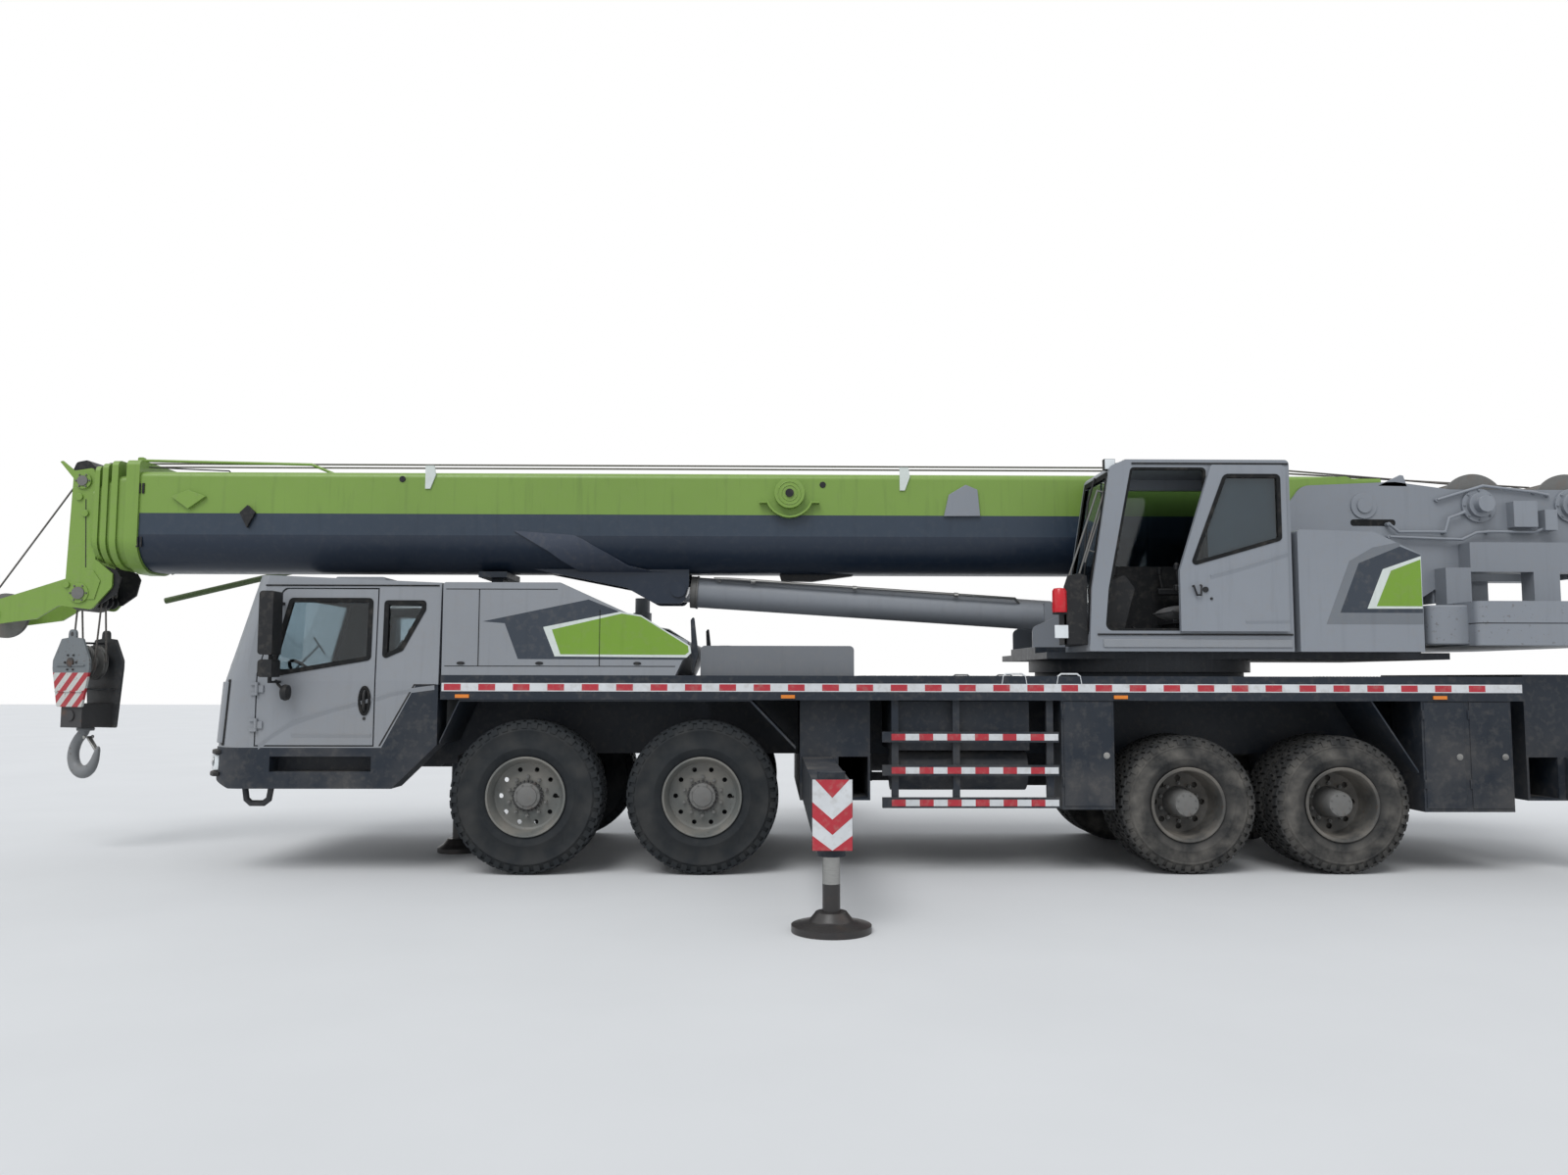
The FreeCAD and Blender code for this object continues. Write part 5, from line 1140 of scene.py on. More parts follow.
def operator_front():
    """Guard rods, the dark plate they stand on, the red beacon and two lamps."""
    rods = Piece()
    for (x0, z0), (x1, z1) in GUARD_RODS:
        rods.tube([(x0 - 0.004, -1.3, z0 - 0.02), (x0, -1.3, z0), (x1, -1.3, z1)], 0.0085, 10)
    rods.tube([(5.021, -1.3, 3.36), (screen_x(3.36) + 0.01, -1.3, 3.345)], 0.0085, 8)
    rods.tube([(5.05, -1.3, 3.27), (5.16, -1.3, 3.6), (5.2, -1.3, 3.61)], 0.006, 8)
    near = GUARD_RODS[1]
    for share in (0.25, 0.6, 0.88):
        spot = [near[0][i] + (near[1][i] - near[0][i]) * share for i in (0, 1)]
        rods.tube([(spot[0], -1.3, spot[1]), (screen_x(spot[1]) + 0.02, -1.3, spot[1] - 0.03)], 0.006, 8)
    rods.done("guard_rods", "upper", "hub", smooth=50)
    plate = Piece()
    plate.side_plate([(4.7, 1.99), (4.7, 2.5), (4.735, 2.6), (4.84, 2.62), (4.905, 2.6), (4.905, 1.99)],
                     -1.32, -1.3)
    plate.box((4.86, 4.905), (-1.31, -0.7), (1.99, 2.08))
    plate.box((4.7, 4.72), (-1.32, -1.12), (1.99, 2.45))
    plate.box((4.6, 4.72), (-1.37, -1.3), (2.255, 2.272))
    plate.box((4.62, 4.715), (-1.345, -1.305), (2.055, 2.145))
    plate.done("front_plate", "upper", "trim", 0.003)
    beacon = Piece()
    beacon.turned([(0, 0.062), (0.02, 0.066), (0.19, 0.062), (0.212, 0.048), (0.218, 0.0)],
                  (4.655, -1.33, 2.272), "z", 28)
    beacon.done("red_beacon", "upper", "red_lens", smooth=40)
    square = Piece()
    square.box((4.605, 4.725), (-1.352, -1.343), (2.045, 2.16))
    square.box((5.08, 5.17), (-1.34, -1.33), (3.55, 3.64))
    square.done("work_lamps", "upper", "clear_lens", 0.004)
    shell = Piece()
    shell.box((5.075, 5.175), (-1.33, -1.27), (3.545, 3.645))
    shell.tube([(5.125, -1.3, 3.56), (5.2, -1.3, 3.52)], 0.01, 8)
    shell.done("work_lamp_shell", "upper", "trim", 0.008)


operator_trim()
operator_front()


# Insides of the two cabs.


def cushion(name, body, centre, size, lean, channels=(), swap=()):
    """A crowned pad with sewn channels: its sides pull in between the corners, and a welt runs round."""
    long, wide, thick = size
    along = Vector((cos(lean), 0, sin(lean)))
    up = Vector((-sin(lean), 0, cos(lean)))
    steps = 36
    piece = Piece()

    def spot(i, j, way):
        u, v = 2 * i / steps - 1, 2 * j / steps - 1
        swell = sqrt((1 - abs(u) ** 5) * (1 - abs(v) ** 5)) * (0.78 + 0.22 * (1 - u * u) * (1 - v * v))
        if way > 0:
            swell -= sum(0.16 * exp(-((u - at) / 0.05) ** 2) * (1 - abs(v) ** 6) for at in channels)
        a = long / 2 * u * (1 - 0.05 * (1 - v * v) * abs(u) ** 3)
        b = wide / 2 * v * (1 - 0.05 * (1 - u * u) * abs(v) ** 3)
        return Vector(centre) + along * a + Vector((0, b, 0)) + up * (way * thick / 2 * max(0.0, swell))

    top = {(i, j): (i, j, 1) for i in range(steps + 1) for j in range(steps + 1)}
    keys, faces = {}, []
    for i, j in top:
        keys[i, j, 1] = len(keys)
    for i, j in top:
        rim = i in (0, steps) or j in (0, steps)
        keys[i, j, -1] = keys[i, j, 1] if rim else max(keys.values()) + 1
    spots = [None] * (max(keys.values()) + 1)
    for (i, j, way), number in keys.items():
        if spots[number] is None:
            spots[number] = spot(i, j, way)
    for i in range(steps):
        for j in range(steps):
            for way in (1, -1):
                faces.append(tuple(keys[p, q, way] for p,
                                   q in ((i, j), (i + 1, j), (i + 1, j + 1), (i, j + 1))))
    piece.add(spots, faces)
    rim = [(i, 0) for i in range(0, steps, 3)] + [(steps, j) for j in range(0, steps, 3)]
    rim += [(i, steps) for i in range(steps, 0, -3)] + [(0, j) for j in range(steps, 0, -3)]
    piece.tube([spot(i, j, 1) for i, j in rim], 0.006, 6, closed=True)
    made = piece.done(name, body, "cloth", smooth=60, swap=swap)


def seat(word, body, x, y, z, node):
    """A driver's seat: pan, back and head pads on a ribbed stem with a shell behind, facing forwards."""
    cushion(f"{word}_pan", body, (x, y, z), (0.48, 0.5, 0.15), radians(-5), (-0.35, 0.0, 0.35), [node])
    cushion(f"{word}_back", body, (x + 0.37, y, z + 0.31), (0.54, 0.48, 0.13), radians(73), (-0.4, 0.0, 0.4),
            [node])
    cushion(f"{word}_head", body, (x + 0.485, y, z + 0.635), (0.13, 0.26, 0.09), radians(76), (), [node])
    frame_piece = Piece()
    for k in range(5):
        low = z - 0.31 + k * 0.045
        inset = 0.012 if k % 2 else 0.0
        frame_piece.box((x - 0.19 + inset, x + 0.19 - inset), (y - 0.17 + inset, y + 0.17 - inset),
                        (low, low + 0.045))
    frame_piece.box((x - 0.22, x + 0.22), (y - 0.21, y + 0.21), (z - 0.09, z - 0.055))
    frame_piece.slab([(-0.2, 0.02), (0.2, 0.02), (0.17, 0.58), (-0.17, 0.58)],
                     lambda p: (x + 0.36 + p[1] * 0.3, y + p[0], z + p[1]),
                     lambda p: (x + 0.385 + p[1] * 0.3, y + p[0], z + p[1] - 0.01))
    for side in (-0.06, 0.06):
        frame_piece.tube([(x + 0.45, y + side, z + 0.5), (x + 0.485, y + side, z + 0.63)], 0.008, 8)
    frame_piece.done(f"{word}_frame", body, "trim", 0.006)


def carrier_inside():
    """Two seats, the dashboard and the steering wheel."""
    for word, y in (("driver_seat", -0.65), ("mate_seat", 0.65)):
        seat(word, "carrier", -1.7, y, 1.455, "cab_inside")
    dash = Piece()
    dash.side_plate(rounded([(-2.55, 1.16), (-2.54, 1.64, 0.04), (-2.33, 1.7, 0.05), (-2.26, 1.52, 0.05),
                             (-2.38, 1.16)]), -1.14, 1.14)
    for low, high in ((-0.95, -0.35), (-0.2, 0.3), (0.5, 0.95)):
        dash.slab([(low, 0.1), (high, 0.1), (high, 0.85), (low, 0.85)],
                  lambda p: (-2.333 + p[1] * 0.075, p[0], 1.692 - p[1] * 0.19),
                  lambda p: (-2.32 + p[1] * 0.075, p[0], 1.697 - p[1] * 0.19))
    dash.done("dashboard", "carrier", "trim", 0.008, swap=["cab_inside"])
    wheel = Piece()
    foot, hub = Vector((-2.42, -0.65, 1.45)), Vector((-2.178, -0.65, 1.671))
    axis = (hub - foot).normalized()
    other = Vector((-axis.z, 0, axis.x))
    wheel.tube([hub + 0.235 * (Vector((0, cos(t), 0)) + other * sin(t)) for t in circle(40)],
               0.015, 10, closed=True)
    wheel.tube([foot, hub], 0.032, 14)
    for t in (0.35, pi - 0.35, -pi / 2):
        wheel.tube([hub - axis * 0.015, hub + 0.23 * (Vector((0, cos(t), 0)) + other * sin(t))], 0.011, 8)
    wheel.done("steering_wheel", "carrier", "rubber", smooth=50)


def operator_room():
    """Seat, console with its pedals, and the two arm rests with their levers."""
    seat("operator_seat", "upper", 5.93, -0.975, 2.275, "operator_inside")
    console = Piece()
    console.side_plate(rounded([(5.09, 1.99), (5.13, 2.56, 0.04), (5.3, 2.63, 0.04), (5.39, 2.5, 0.04),
                                (5.25, 1.99)]), -1.145, -0.765)
    console.box((5.2, 5.235), (-1.08, -0.85), (2.62, 2.8))
    for y in (-1.06, -0.94, -0.86):
        console.slab([(-0.04, 0), (0.04, 0), (0.04, 0.14), (-0.04, 0.14)],
                     lambda p: (5.46 - p[1] * 0.5, y + p[0], 2.02 + p[1]),
                     lambda p: (5.445 - p[1] * 0.5, y + p[0], 2.015 + p[1]))
    console.done("operator_console", "upper", "trim", 0.006, swap=["operator_inside"])
    arms = Piece()
    for y in (-1.2, -0.75):
        arms.box((5.72, 6.12), (y - 0.035, y + 0.035), (2.47, 2.53))
        arms.box((5.98, 6.04), (y - 0.02, y + 0.02), (2.2, 2.48))
        arms.tube([(5.77, y, 2.52), (5.755, y, 2.62), (5.745, y, 2.66)], 0.014, 10)
        arms.turned([(-0.04, 0.0), (-0.03, 0.022), (0.02, 0.026), (0.04, 0.012), (0.042, 0.0)],
                    (5.745, y, 2.69), "z", 16)
    arms.done("operator_arms", "upper", "trim", 0.01)


carrier_inside()
operator_room()


# Deck, hood and lockers.


def grab_loops():
    """Two pale loops on each edge of the deck."""
    for side, hand in SIDES:
        loops = Piece()
        for x in (4.125, 4.605):
            loops.tube([(x, side * 1.383, 1.64), (x + 0.012, side * 1.383, 1.71),
                        (x + 0.04, side * 1.383, 1.731), (x + 0.178, side * 1.383, 1.731),
                        (x + 0.206, side * 1.383, 1.71), (x + 0.218, side * 1.383, 1.64)], 0.008, 10)
        loops.done(f"grab_loops_{hand}", "carrier", "pale", smooth=50)


def locker_doors():
    """Door leaves with hinges and round latches on the lockers."""
    for side, hand in SIDES:
        doors, latches = Piece(), Piece()
        for x0, x1, low, high in ((4.64, 5.1, 0.56, 1.49), (7.8, 8.19, 0.54, 1.49), (8.2, 8.59, 0.54, 1.49)):
            doors.box((x0 + 0.02, x1 - 0.02), (side * 1.374, side * 1.383), (low + 0.03, high))
            for z in (low + 0.2, high - 0.15):
                doors.tube([(x0 + 0.012, side * 1.38, z), (x0 + 0.012, side * 1.38, z + 0.08)], 0.01, 8)
            spot = (x1 - 0.07, side * 1.383, (low + high) / 2)
            latches.turned([(0, 0.028), (side * 0.004, 0.028), (side * 0.005, 0.02), (side * 0.009, 0.018),
                            (side * 0.01, 0.0)], spot, "y", 20)
            latches.box((spot[0] - 0.022, spot[0] + 0.022), (side * 1.386, side * 1.395),
                        (spot[2] - 0.005, spot[2] + 0.005))
        doors.done(f"locker_doors_{hand}", "carrier", "dark", 0.003)
        latches.done(f"locker_latches_{hand}", "carrier", "steel")


def hood_trim():
    """Seams, latches and top louvres of the engine hood."""
    for side, hand in SIDES:
        seams, latches = Piece(), Piece()
        for x in (-0.43, 0.62):
            seams.side_plate([(x - 0.003, 1.79), (x + 0.003, 1.79), (x + 0.003, 2.46 if x < 0 else 2.28),
                              (x - 0.003, 2.46 if x < 0 else 2.28)], side * 1.388, side * 1.3945)
        seams.side_plate([(-0.72, 1.787), (1.28, 1.787), (1.28, 1.793), (-0.72, 1.793)], side * 1.388,
                         side * 1.392)
        seams.side_plate([(-0.72, 2.457), (0.25, 2.457), (0.25, 2.463), (-0.72, 2.463)], side * 1.388,
                         side * 1.392)
        seams.done(f"hood_seams_{hand}", "carrier", "rubber")
        for x in (-0.58, 0.1, 0.95):
            latches.side_plate(oval((x, 1.815), 0.035, 0.014, 20), side * 1.388, side * 1.396)
        latches.done(f"hood_latches_{hand}", "carrier", "trim")
    louvres = Piece()
    for k in range(12):
        x = -0.6 + k * 0.06
        louvres.side_plate([(x, 2.518), (x + 0.045, 2.53), (x + 0.05, 2.53), (x + 0.012, 2.518)], -0.95, 0.95)
    louvres.done("hood_louvres", "carrier", "body")


def deck_plates():
    """Raised tread bars on the deck where people walk, and the tank's caps."""
    tread = Piece()
    for x0, x1, y0, y1 in ((2.95, 4.45, -1.3, 1.3), (7.0, 8.6, -1.3, -1.05), (7.0, 8.6, 1.05, 1.3)):
        i = 0
        x = x0
        while x < x1:
            y = y0 + (0.03 if i % 2 else 0.0)
            while y < y1 - 0.03:
                lean = 0.012 if i % 2 else -0.012
                tread.add([(x - 0.004, y, 1.711), (x + 0.004, y, 1.711), (x + 0.004 + lean, y + 0.03, 1.711),
                           (x - 0.004 + lean, y + 0.03, 1.711), (x + lean / 2, y + 0.015, 1.7155)],
                          [(3, 2, 1, 0), (0, 1, 4), (1, 2, 4), (2, 3, 4), (3, 0, 4)])
                y += 0.06
            x += 0.045
            i += 1
    tread.done("deck_tread", "carrier", "dark", smooth=10)
    caps = Piece()
    for x, y in ((1.7, -1.0), (2.6, 0.9)):
        caps.turned([(0, 0.07), (0.004, 0.07), (0.008, 0.058), (0.008, 0.0)],
                    (x, y, 1.974), "z", 28)
    caps.done("tank_caps", "carrier", "trim", 0.003, 40)


grab_loops()
locker_doors()
hood_trim()
deck_plates()


# Boom trim, winch rope and cylinder gland.

ROPE_HIGH, ROPE_OUT, ROPE = 3.795, 0.09, 0.009


def hoist_rope():
    """Rope on both drums and two leads along the boom's top over the head's upper sheaves.

    The left lead goes on to the nose sheave and the right one down between the head's plates.
    """
    for word, x in WINCHES.items():
        laid = Piece()
        pitch, profile = 0.0186, []
        for k in range(39):
            y = -0.3627 + k * pitch
            profile += [(y - pitch * 0.5, 0.262), (y - pitch * 0.25, 0.2695), (y, 0.272),
                        (y + pitch * 0.25, 0.2695)]
        laid.turned([(-0.373, 0.19)] + profile + [(0.373, 0.262), (0.373, 0.19)], (x, 0, WINCH_HIGH), "y", 48)
        laid.done(f"rope_laid_{word}", "upper", "rope", smooth=60)
    stops = [("boom_base", -4.03, ROPE_HIGH), ("boom_two", -4.22, ROPE_HIGH),
             ("boom_three", -4.335, ROPE_HIGH), ("boom_four", -4.43, ROPE_HIGH), ("boom_head", -4.61, 3.713)]
    for y, hand in ((-ROPE_OUT, "left"), (ROPE_OUT, "right")):
        lead = Piece()
        lead.tube([(7.0, y, ROPE_HIGH), (-4.03, y, ROPE_HIGH)], ROPE, 8)
        lead.done(f"rope_run_{hand}", "boom_base", "rope", smooth=60)
        back = Piece()
        start = (8.93, y, 3.642) if y < 0 else (9.84, y, 3.642)
        line = [tuple(a + (b - a) * k / 10 for a, b in zip(start, (7.0, y, ROPE_HIGH))) for k in range(11)]
        back.tube(line, ROPE, 8)
        made = back.done(f"rope_back_{hand}", None, "rope", smooth=60)
        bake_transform(made)
        for (body, x0, z0), (after, x1, z1) in zip(stops, stops[1:]):
            part = Piece()
            part.tube([(x0, y, z0), (x1, y, z1)], ROPE, 8)
            made = part.done(f"rope_{after}_{hand}", None, "rope", smooth=60)
            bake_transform(made)
        over = Piece()
        x, z = UPPER_SHEAVE
        arc = [(x - 0.113 * sin(t), y, z + 0.113 * cos(t)) for t in
               [pi / 2 * k / 6 for k in range(7)]]
        if y < 0:
            over.tube(arc[:5] + [(-5.6, -0.02, 2.42)], ROPE, 8)
        else:
            over.tube(arc + [(-4.86, y * 1.33, 2.5)], ROPE, 8)
        over.done(f"rope_head_{hand}", "boom_head", "rope", smooth=60)


def moved(spot):
    return (spot[0] + AXLE_ONE, spot[1], spot[2])


def cylinder_trim():
    """The luffing cylinder's gland ring, and the pipe with its clamps."""
    barrel = Piece()
    front, rear = Vector((1.207, 0, 2.55)), Vector((5.1, 0, 2.3))
    way = (rear - front).normalized()
    start = front + way * 0.11
    barrel.tube([start, start + way * 0.055], 0.158, 36)
    barrel.tube([start + way * 0.055, start + way * 0.075], 0.164, 36)
    barrel.done("gland_ring", "luff_barrel", "hub", 0.003, 40)
    pipe = Piece()
    near = Vector((0, -0.13, 0.11))
    pipe.tube([start + way * 0.3 + near, start + way * 0.26 + near * 1.25, start + way * 0.4 + near * 1.3,
               start + way * 3.2 + near * 1.25, start + way * 3.25 + near * 0.9], 0.013, 10)
    for share in (0.6, 1.6, 2.6):
        spot = start + way * share + near * 1.22
        pipe.tube([spot, spot + way * 0.04], 0.024, 12)
    pipe.done("cylinder_pipe", "luff_barrel", "steel", smooth=50)


def head_trim():
    """Bolted caps over the head's pins, on both sides."""
    for side, hand in SIDES:
        caps = Piece()
        for x, z, radius in ((BLOCK_X, 2.5, 0.06), (*NOSE_SHEAVE, 0.045), (*UPPER_SHEAVE, 0.05)):
            face = side * 0.233
            caps.turned([(0, radius), (side * 0.012, radius), (side * 0.014, 0.0)], (x, face, z), "y", 28)
            for turn in circle(6):
                caps.nut((x + radius * 1.3 * cos(turn), face, z + radius * 1.3 * sin(turn)), "y", 0.009,
                         side * 0.008)
        caps.done(f"pin_caps_{hand}", "boom_head", "hub", smooth=40)


def rod_y(piece, x, z, low, high, radius, sides=28):
    piece.turned([(low, radius), (high, radius)], (x, 0, z), "y", sides)


SADDLE_ROWS = [(3.1, -0.366, -0.36), (3.06, -0.298, 0.21), (3.02, -0.23, 0.3), (2.96, -0.129, 0.4),
               (2.9, -0.027, 0.51), (2.84, 0.074, 0.62), (2.78, 0.176, 0.73), (2.76, 0.21, 0.84),
               (2.74, 0.243, 0.95), (2.732, 0.257, 1.23), (2.716, 0.284, 1.23)]
BELLY_HIGH, BELLY_OUT = 3.035, 0.07


def belly(z, radius):
    """How far out the boom's side stands at a height, on its flat wall or its round belly."""
    if z > BELLY_HIGH:
        return BELLY_OUT + radius
    return BELLY_OUT + sqrt(max(0.0, radius ** 2 - (BELLY_HIGH - z) ** 2))


def saddle_plates():
    """The cylinder's saddle: plates that follow the boom's belly on both sides."""
    for side, hand in SIDES:
        piece, count = Piece(), len(SADDLE_ROWS)
        spots, faces = [], []
        for z, front, rear in SADDLE_ROWS:
            for radius in (0.334, 0.316):
                drop = 0.014 if radius > 0.32 and z < 2.9 else 0.0
                for x in (front, rear):
                    spots.append((x, side * belly(z, 0.334 if radius > 0.32 else 0.32), z - drop))
        for i in range(count - 1):
            for a, b in ((0, 1), (1, 3), (3, 2), (2, 0)):
                faces.append((4 * i + a, 4 * i + b, 4 * i + 4 + b, 4 * i + 4 + a))
        faces += [(0, 1, 3, 2), tuple(4 * (count - 1) + k for k in (2, 3, 1, 0))]
        piece.add(spots, faces)
        piece.done(f"saddle_{hand}", "boom_base", "saddle", smooth=50)


def boom_fittings():
    """What stands on the base section: stay, guide lugs, cable reel, fins and small brackets."""
    stay, pale, dark, grey = Piece(), Piece(), Piece(), Piece()
    stay.side_plate(rounded([(-4.09, 3.76), (-4.09, 3.835, 0.015), (-4.03, 3.835, 0.015), (-3.975, 3.66)]),
                    -0.225, -0.185)
    stay.tube([(-4.05, -0.205, 3.805), (-2.4, -0.205, 3.772), (-2.143, -0.205, 3.665)], 0.014, 12)
    dark.tube([(-4.016, -0.24, 3.735), (-3.6, -0.24, 3.715), (-3.19, -0.24, 3.7), (-3.15, -0.24, 3.66)],
              0.007, 8)
    for x in (-1.178, 3.406):
        for side in (LEFT, RIGHT):
            pale.side_plate([(x - 0.05, 3.505), (x - 0.05, 3.732), (x + 0.035, 3.732), (x + 0.05, 3.64),
                             (x, 3.505)],
                            side * 0.384, side * 0.404)
    x, z = 2.287, 3.469
    rod_y(stay, x, z, -0.46, -0.385, 0.146, 48)
    for radius in (0.11, 0.075):
        stay.tube([(x + radius * cos(t), -0.461, z + radius * sin(t)) for t in circle(32)],
                  0.006, 6, closed=True)
    rod_y(dark, x, z, -0.478, -0.45, 0.04)
    arc = [radians(200 + 14 * k) for k in range(11)]
    stay.side_plate([(x + 0.24 * cos(t), z + 0.24 * sin(t)) for t in arc]
                    + [(x + 0.222 * cos(t), z + 0.222 * sin(t)) for t in arc[::-1]], -0.465, -0.385)
    for low in (x - 0.29, x + 0.215):
        stay.box((low, low + 0.075), (-0.465, -0.385), (z - 0.098, z - 0.084))
    grey.side_plate([(3.782, 3.254), (3.831, 3.465), (3.994, 3.562), (4.108, 3.514), (4.133, 3.256)], -0.42,
                    -0.388)
    for low, floor, long, high, piece in ((-3.65, 3.3, 0.33, 0.12, stay), (-2.99, 3.12, 0.15, 0.145, dark)):
        piece.side_plate([(low, floor + high), (low + long * 0.5, floor), (low + long, floor + high),
                          (low + long * 0.5, floor + high * 1.5)], -0.425, -0.388)
    dark.side_plate([(2.19, 2.735), (2.215, 2.655), (2.52, 2.65), (2.925, 2.707), (2.925, 2.735)], -0.06,
                    0.06)
    for x, z in ((-1.45, 3.6), (2.61, 3.56)):
        rod_y(dark, x, z, -0.397, -0.388, 0.03)
    for x in (-3.975, -3.94):
        for z in (2.98, 3.5):
            for side in (LEFT, RIGHT):
                dark.box((x, x + 0.02), (side * 0.39, side * 0.402), (z - 0.05, z + 0.05))
    stay.done("boom_stay", "boom_base", "green", 0.002)
    pale.done("boom_lugs", "boom_base", "white", 0.002)
    dark.done("boom_dark", "boom_base", "trim", 0.002)
    grey.done("boom_plate", "boom_base", "upper", 0.003)


def head_fittings():
    """Guards, sheave cover, prongs and bosses of the boom head."""
    green, dark = Piece(), Piece()
    for side in (LEFT, RIGHT):
        dark.side_plate([(-4.48, 2.798), (-4.46, 2.798), (-4.262, 2.724), (-4.225, 2.66), (-4.262, 2.5),
                         (-4.4, 2.4), (-4.48, 2.4)], side * 0.165, side * 0.189)
        green.side_plate([(-4.69, 3.6), (-4.85, 3.79), (-4.825, 3.8), (-4.69, 3.69)], side * 0.19,
                         side * 0.2149)
        for x, z, radius in ((BLOCK_X, 2.5, 0.095), (*NOSE_SHEAVE, 0.075), (*UPPER_SHEAVE, 0.08),
                             (-4.723, 2.581, 0.03), (-4.641, 3.441, 0.034), (-4.578, 3.281, 0.034)):
            rod_y(green, x, z, side * 0.21, side * 0.233, radius, 36)
        green.side_plate([(-4.56, 2.44), (-4.45, 2.44), (-4.4, 2.62), (-4.47, 2.72), (-4.56, 2.72)],
                         side * 0.214, side * 0.224)
        dark.side_plate([(-4.555, 2.75), (-4.545, 2.75), (-4.575, 3.42), (-4.585, 3.42)], side * 0.214,
                        side * 0.217)
    dark.side_plate(rounded([(-4.73, 3.712), (-4.7, 3.79, 0.04), (-4.59, 3.812, 0.05), (-4.478, 3.712)]),
                    -0.195, 0.195)
    for y in (-0.09, 0.0, 0.09):
        rod_y(dark, -4.45, 2.42, y - 0.012, y + 0.012, 0.06)
    green.done("head_green", "boom_head", "green", 0.002)
    dark.done("head_dark", "boom_head", "trim", 0.002)


def block_outline(low, foot):
    half = 0.265
    right = [(0.05, 2.15, 0.04), (0.055, 2.07), (0.15, 2.06, 0.02), (half, 1.85, 0.06), (half, 1.77, 0.06),
             (foot, low, 0.02)]
    return rounded([(-x, z, *more) for x, z, *more in right[::-1]] + right)


BLOCK_AT = (BLOCK_X + AXLE_ONE, 0, 0)
SHEAVE_HIGH, SHEAVE_OUT, HEAD_PIN_HIGH = 1.83, 0.0607, 2.5


def hook_block():
    """Two unequal cheeks round two sheaves, with a crosshead, spreaders and four falls."""
    at, turn = BLOCK_AT, BLOCK_TURN
    frame_piece = Piece()
    frame_piece.side_plate(block_outline(1.4, 0.18), -0.185, -0.16)
    frame_piece.side_plate(block_outline(1.19, 0.2), 0.16, 0.185)
    for z in (1.8, 1.55):
        frame_piece.box((-0.2, 0.2), (-0.198, -0.18), (z - 0.006, z + 0.006))
    frame_piece.box((-0.185, 0.185), (-0.165, 0.165), (1.56, 1.58))
    frame_piece.box((-0.02, 0.02), (-0.165, 0.165), (2.01, 2.03))
    frame_piece.done("hook_block_frame", "hook_block", "block", 0.003, at=at, turn=turn, swap=["hook_block"])
    dark = Piece()
    dark.box((-0.15, 0.15), (-0.155, 0.165), (1.2, 1.43))
    rod_y(dark, 0, 1.315, -0.17, 0.198, 0.05)
    rod_y(dark, 0, SHEAVE_HIGH, -0.2, 0.2, 0.045)
    for t in circle(6):
        dark.nut((0.08 * cos(t), -0.185, SHEAVE_HIGH + 0.08 * sin(t)), "y", 0.011, -0.012)
    # A dark disc on the near cheek stands for the ear's hole: painted shade, as no hole is cut.
    rod_y(dark, 0, 2.105, -0.187, -0.18, 0.022)
    dark.done("hook_block_dark", "hook_block", "iron", 0.006, at=at, turn=turn)
    wheels = Piece()
    half = [(0.022, 0.03), (0.022, 0.06), (0.01, 0.07), (0.01, 0.14), (0.022, 0.15), (0.022, 0.17),
            (0.014, 0.17), (0.005, 0.152)]
    for y in (-SHEAVE_OUT, SHEAVE_OUT):
        wheels.turned([(y - out, radius) for out, radius in half] + [(y + out, radius) for out,
                                                                     radius in half[::-1]],
                      (0, 0, SHEAVE_HIGH), "y", 48, closed=True)
    wheels.done("hook_block_sheaves", "hook_block", "hub", at=at, turn=turn)
    falls = Piece()
    reach = 0.1662
    for side in (-1, 1):
        for out, head_y, lean in ((side, -0.06 * side, 0), (-side, -0.12 * side, 0.006)):
            low = (BLOCK_X + reach * side * cos(turn) - out * SHEAVE_OUT * sin(turn),
                   reach * side * sin(turn) + out * SHEAVE_OUT * cos(turn), SHEAVE_HIGH)
            falls.tube([low, (BLOCK_X + (reach + lean) * side, head_y, HEAD_PIN_HIGH)], ROPE, 10)
    falls.done("falls", "hook_block", "rope", smooth=60)


HOOK_LINE = [
    # along, height, half thickness in the hook's plane, half thickness across it
    (0.0, 1.42, 0.041, 0.041), (0.0, 1.26, 0.041, 0.041), (-0.005, 1.19, 0.05, 0.046),
    (-0.045, 1.13, 0.05, 0.045), (-0.105, 1.07, 0.05, 0.045), (-0.15, 0.985, 0.056, 0.047),
    (-0.158, 0.9, 0.06, 0.05), (-0.125, 0.82, 0.062, 0.052), (-0.055, 0.772, 0.064, 0.054),
    (0.025, 0.768, 0.062, 0.052), (0.098, 0.805, 0.054, 0.046), (0.147, 0.87, 0.044, 0.038),
    (0.172, 0.935, 0.034, 0.03), (0.19, 0.99, 0.022, 0.022), (0.197, 1.015, 0.009, 0.01)]


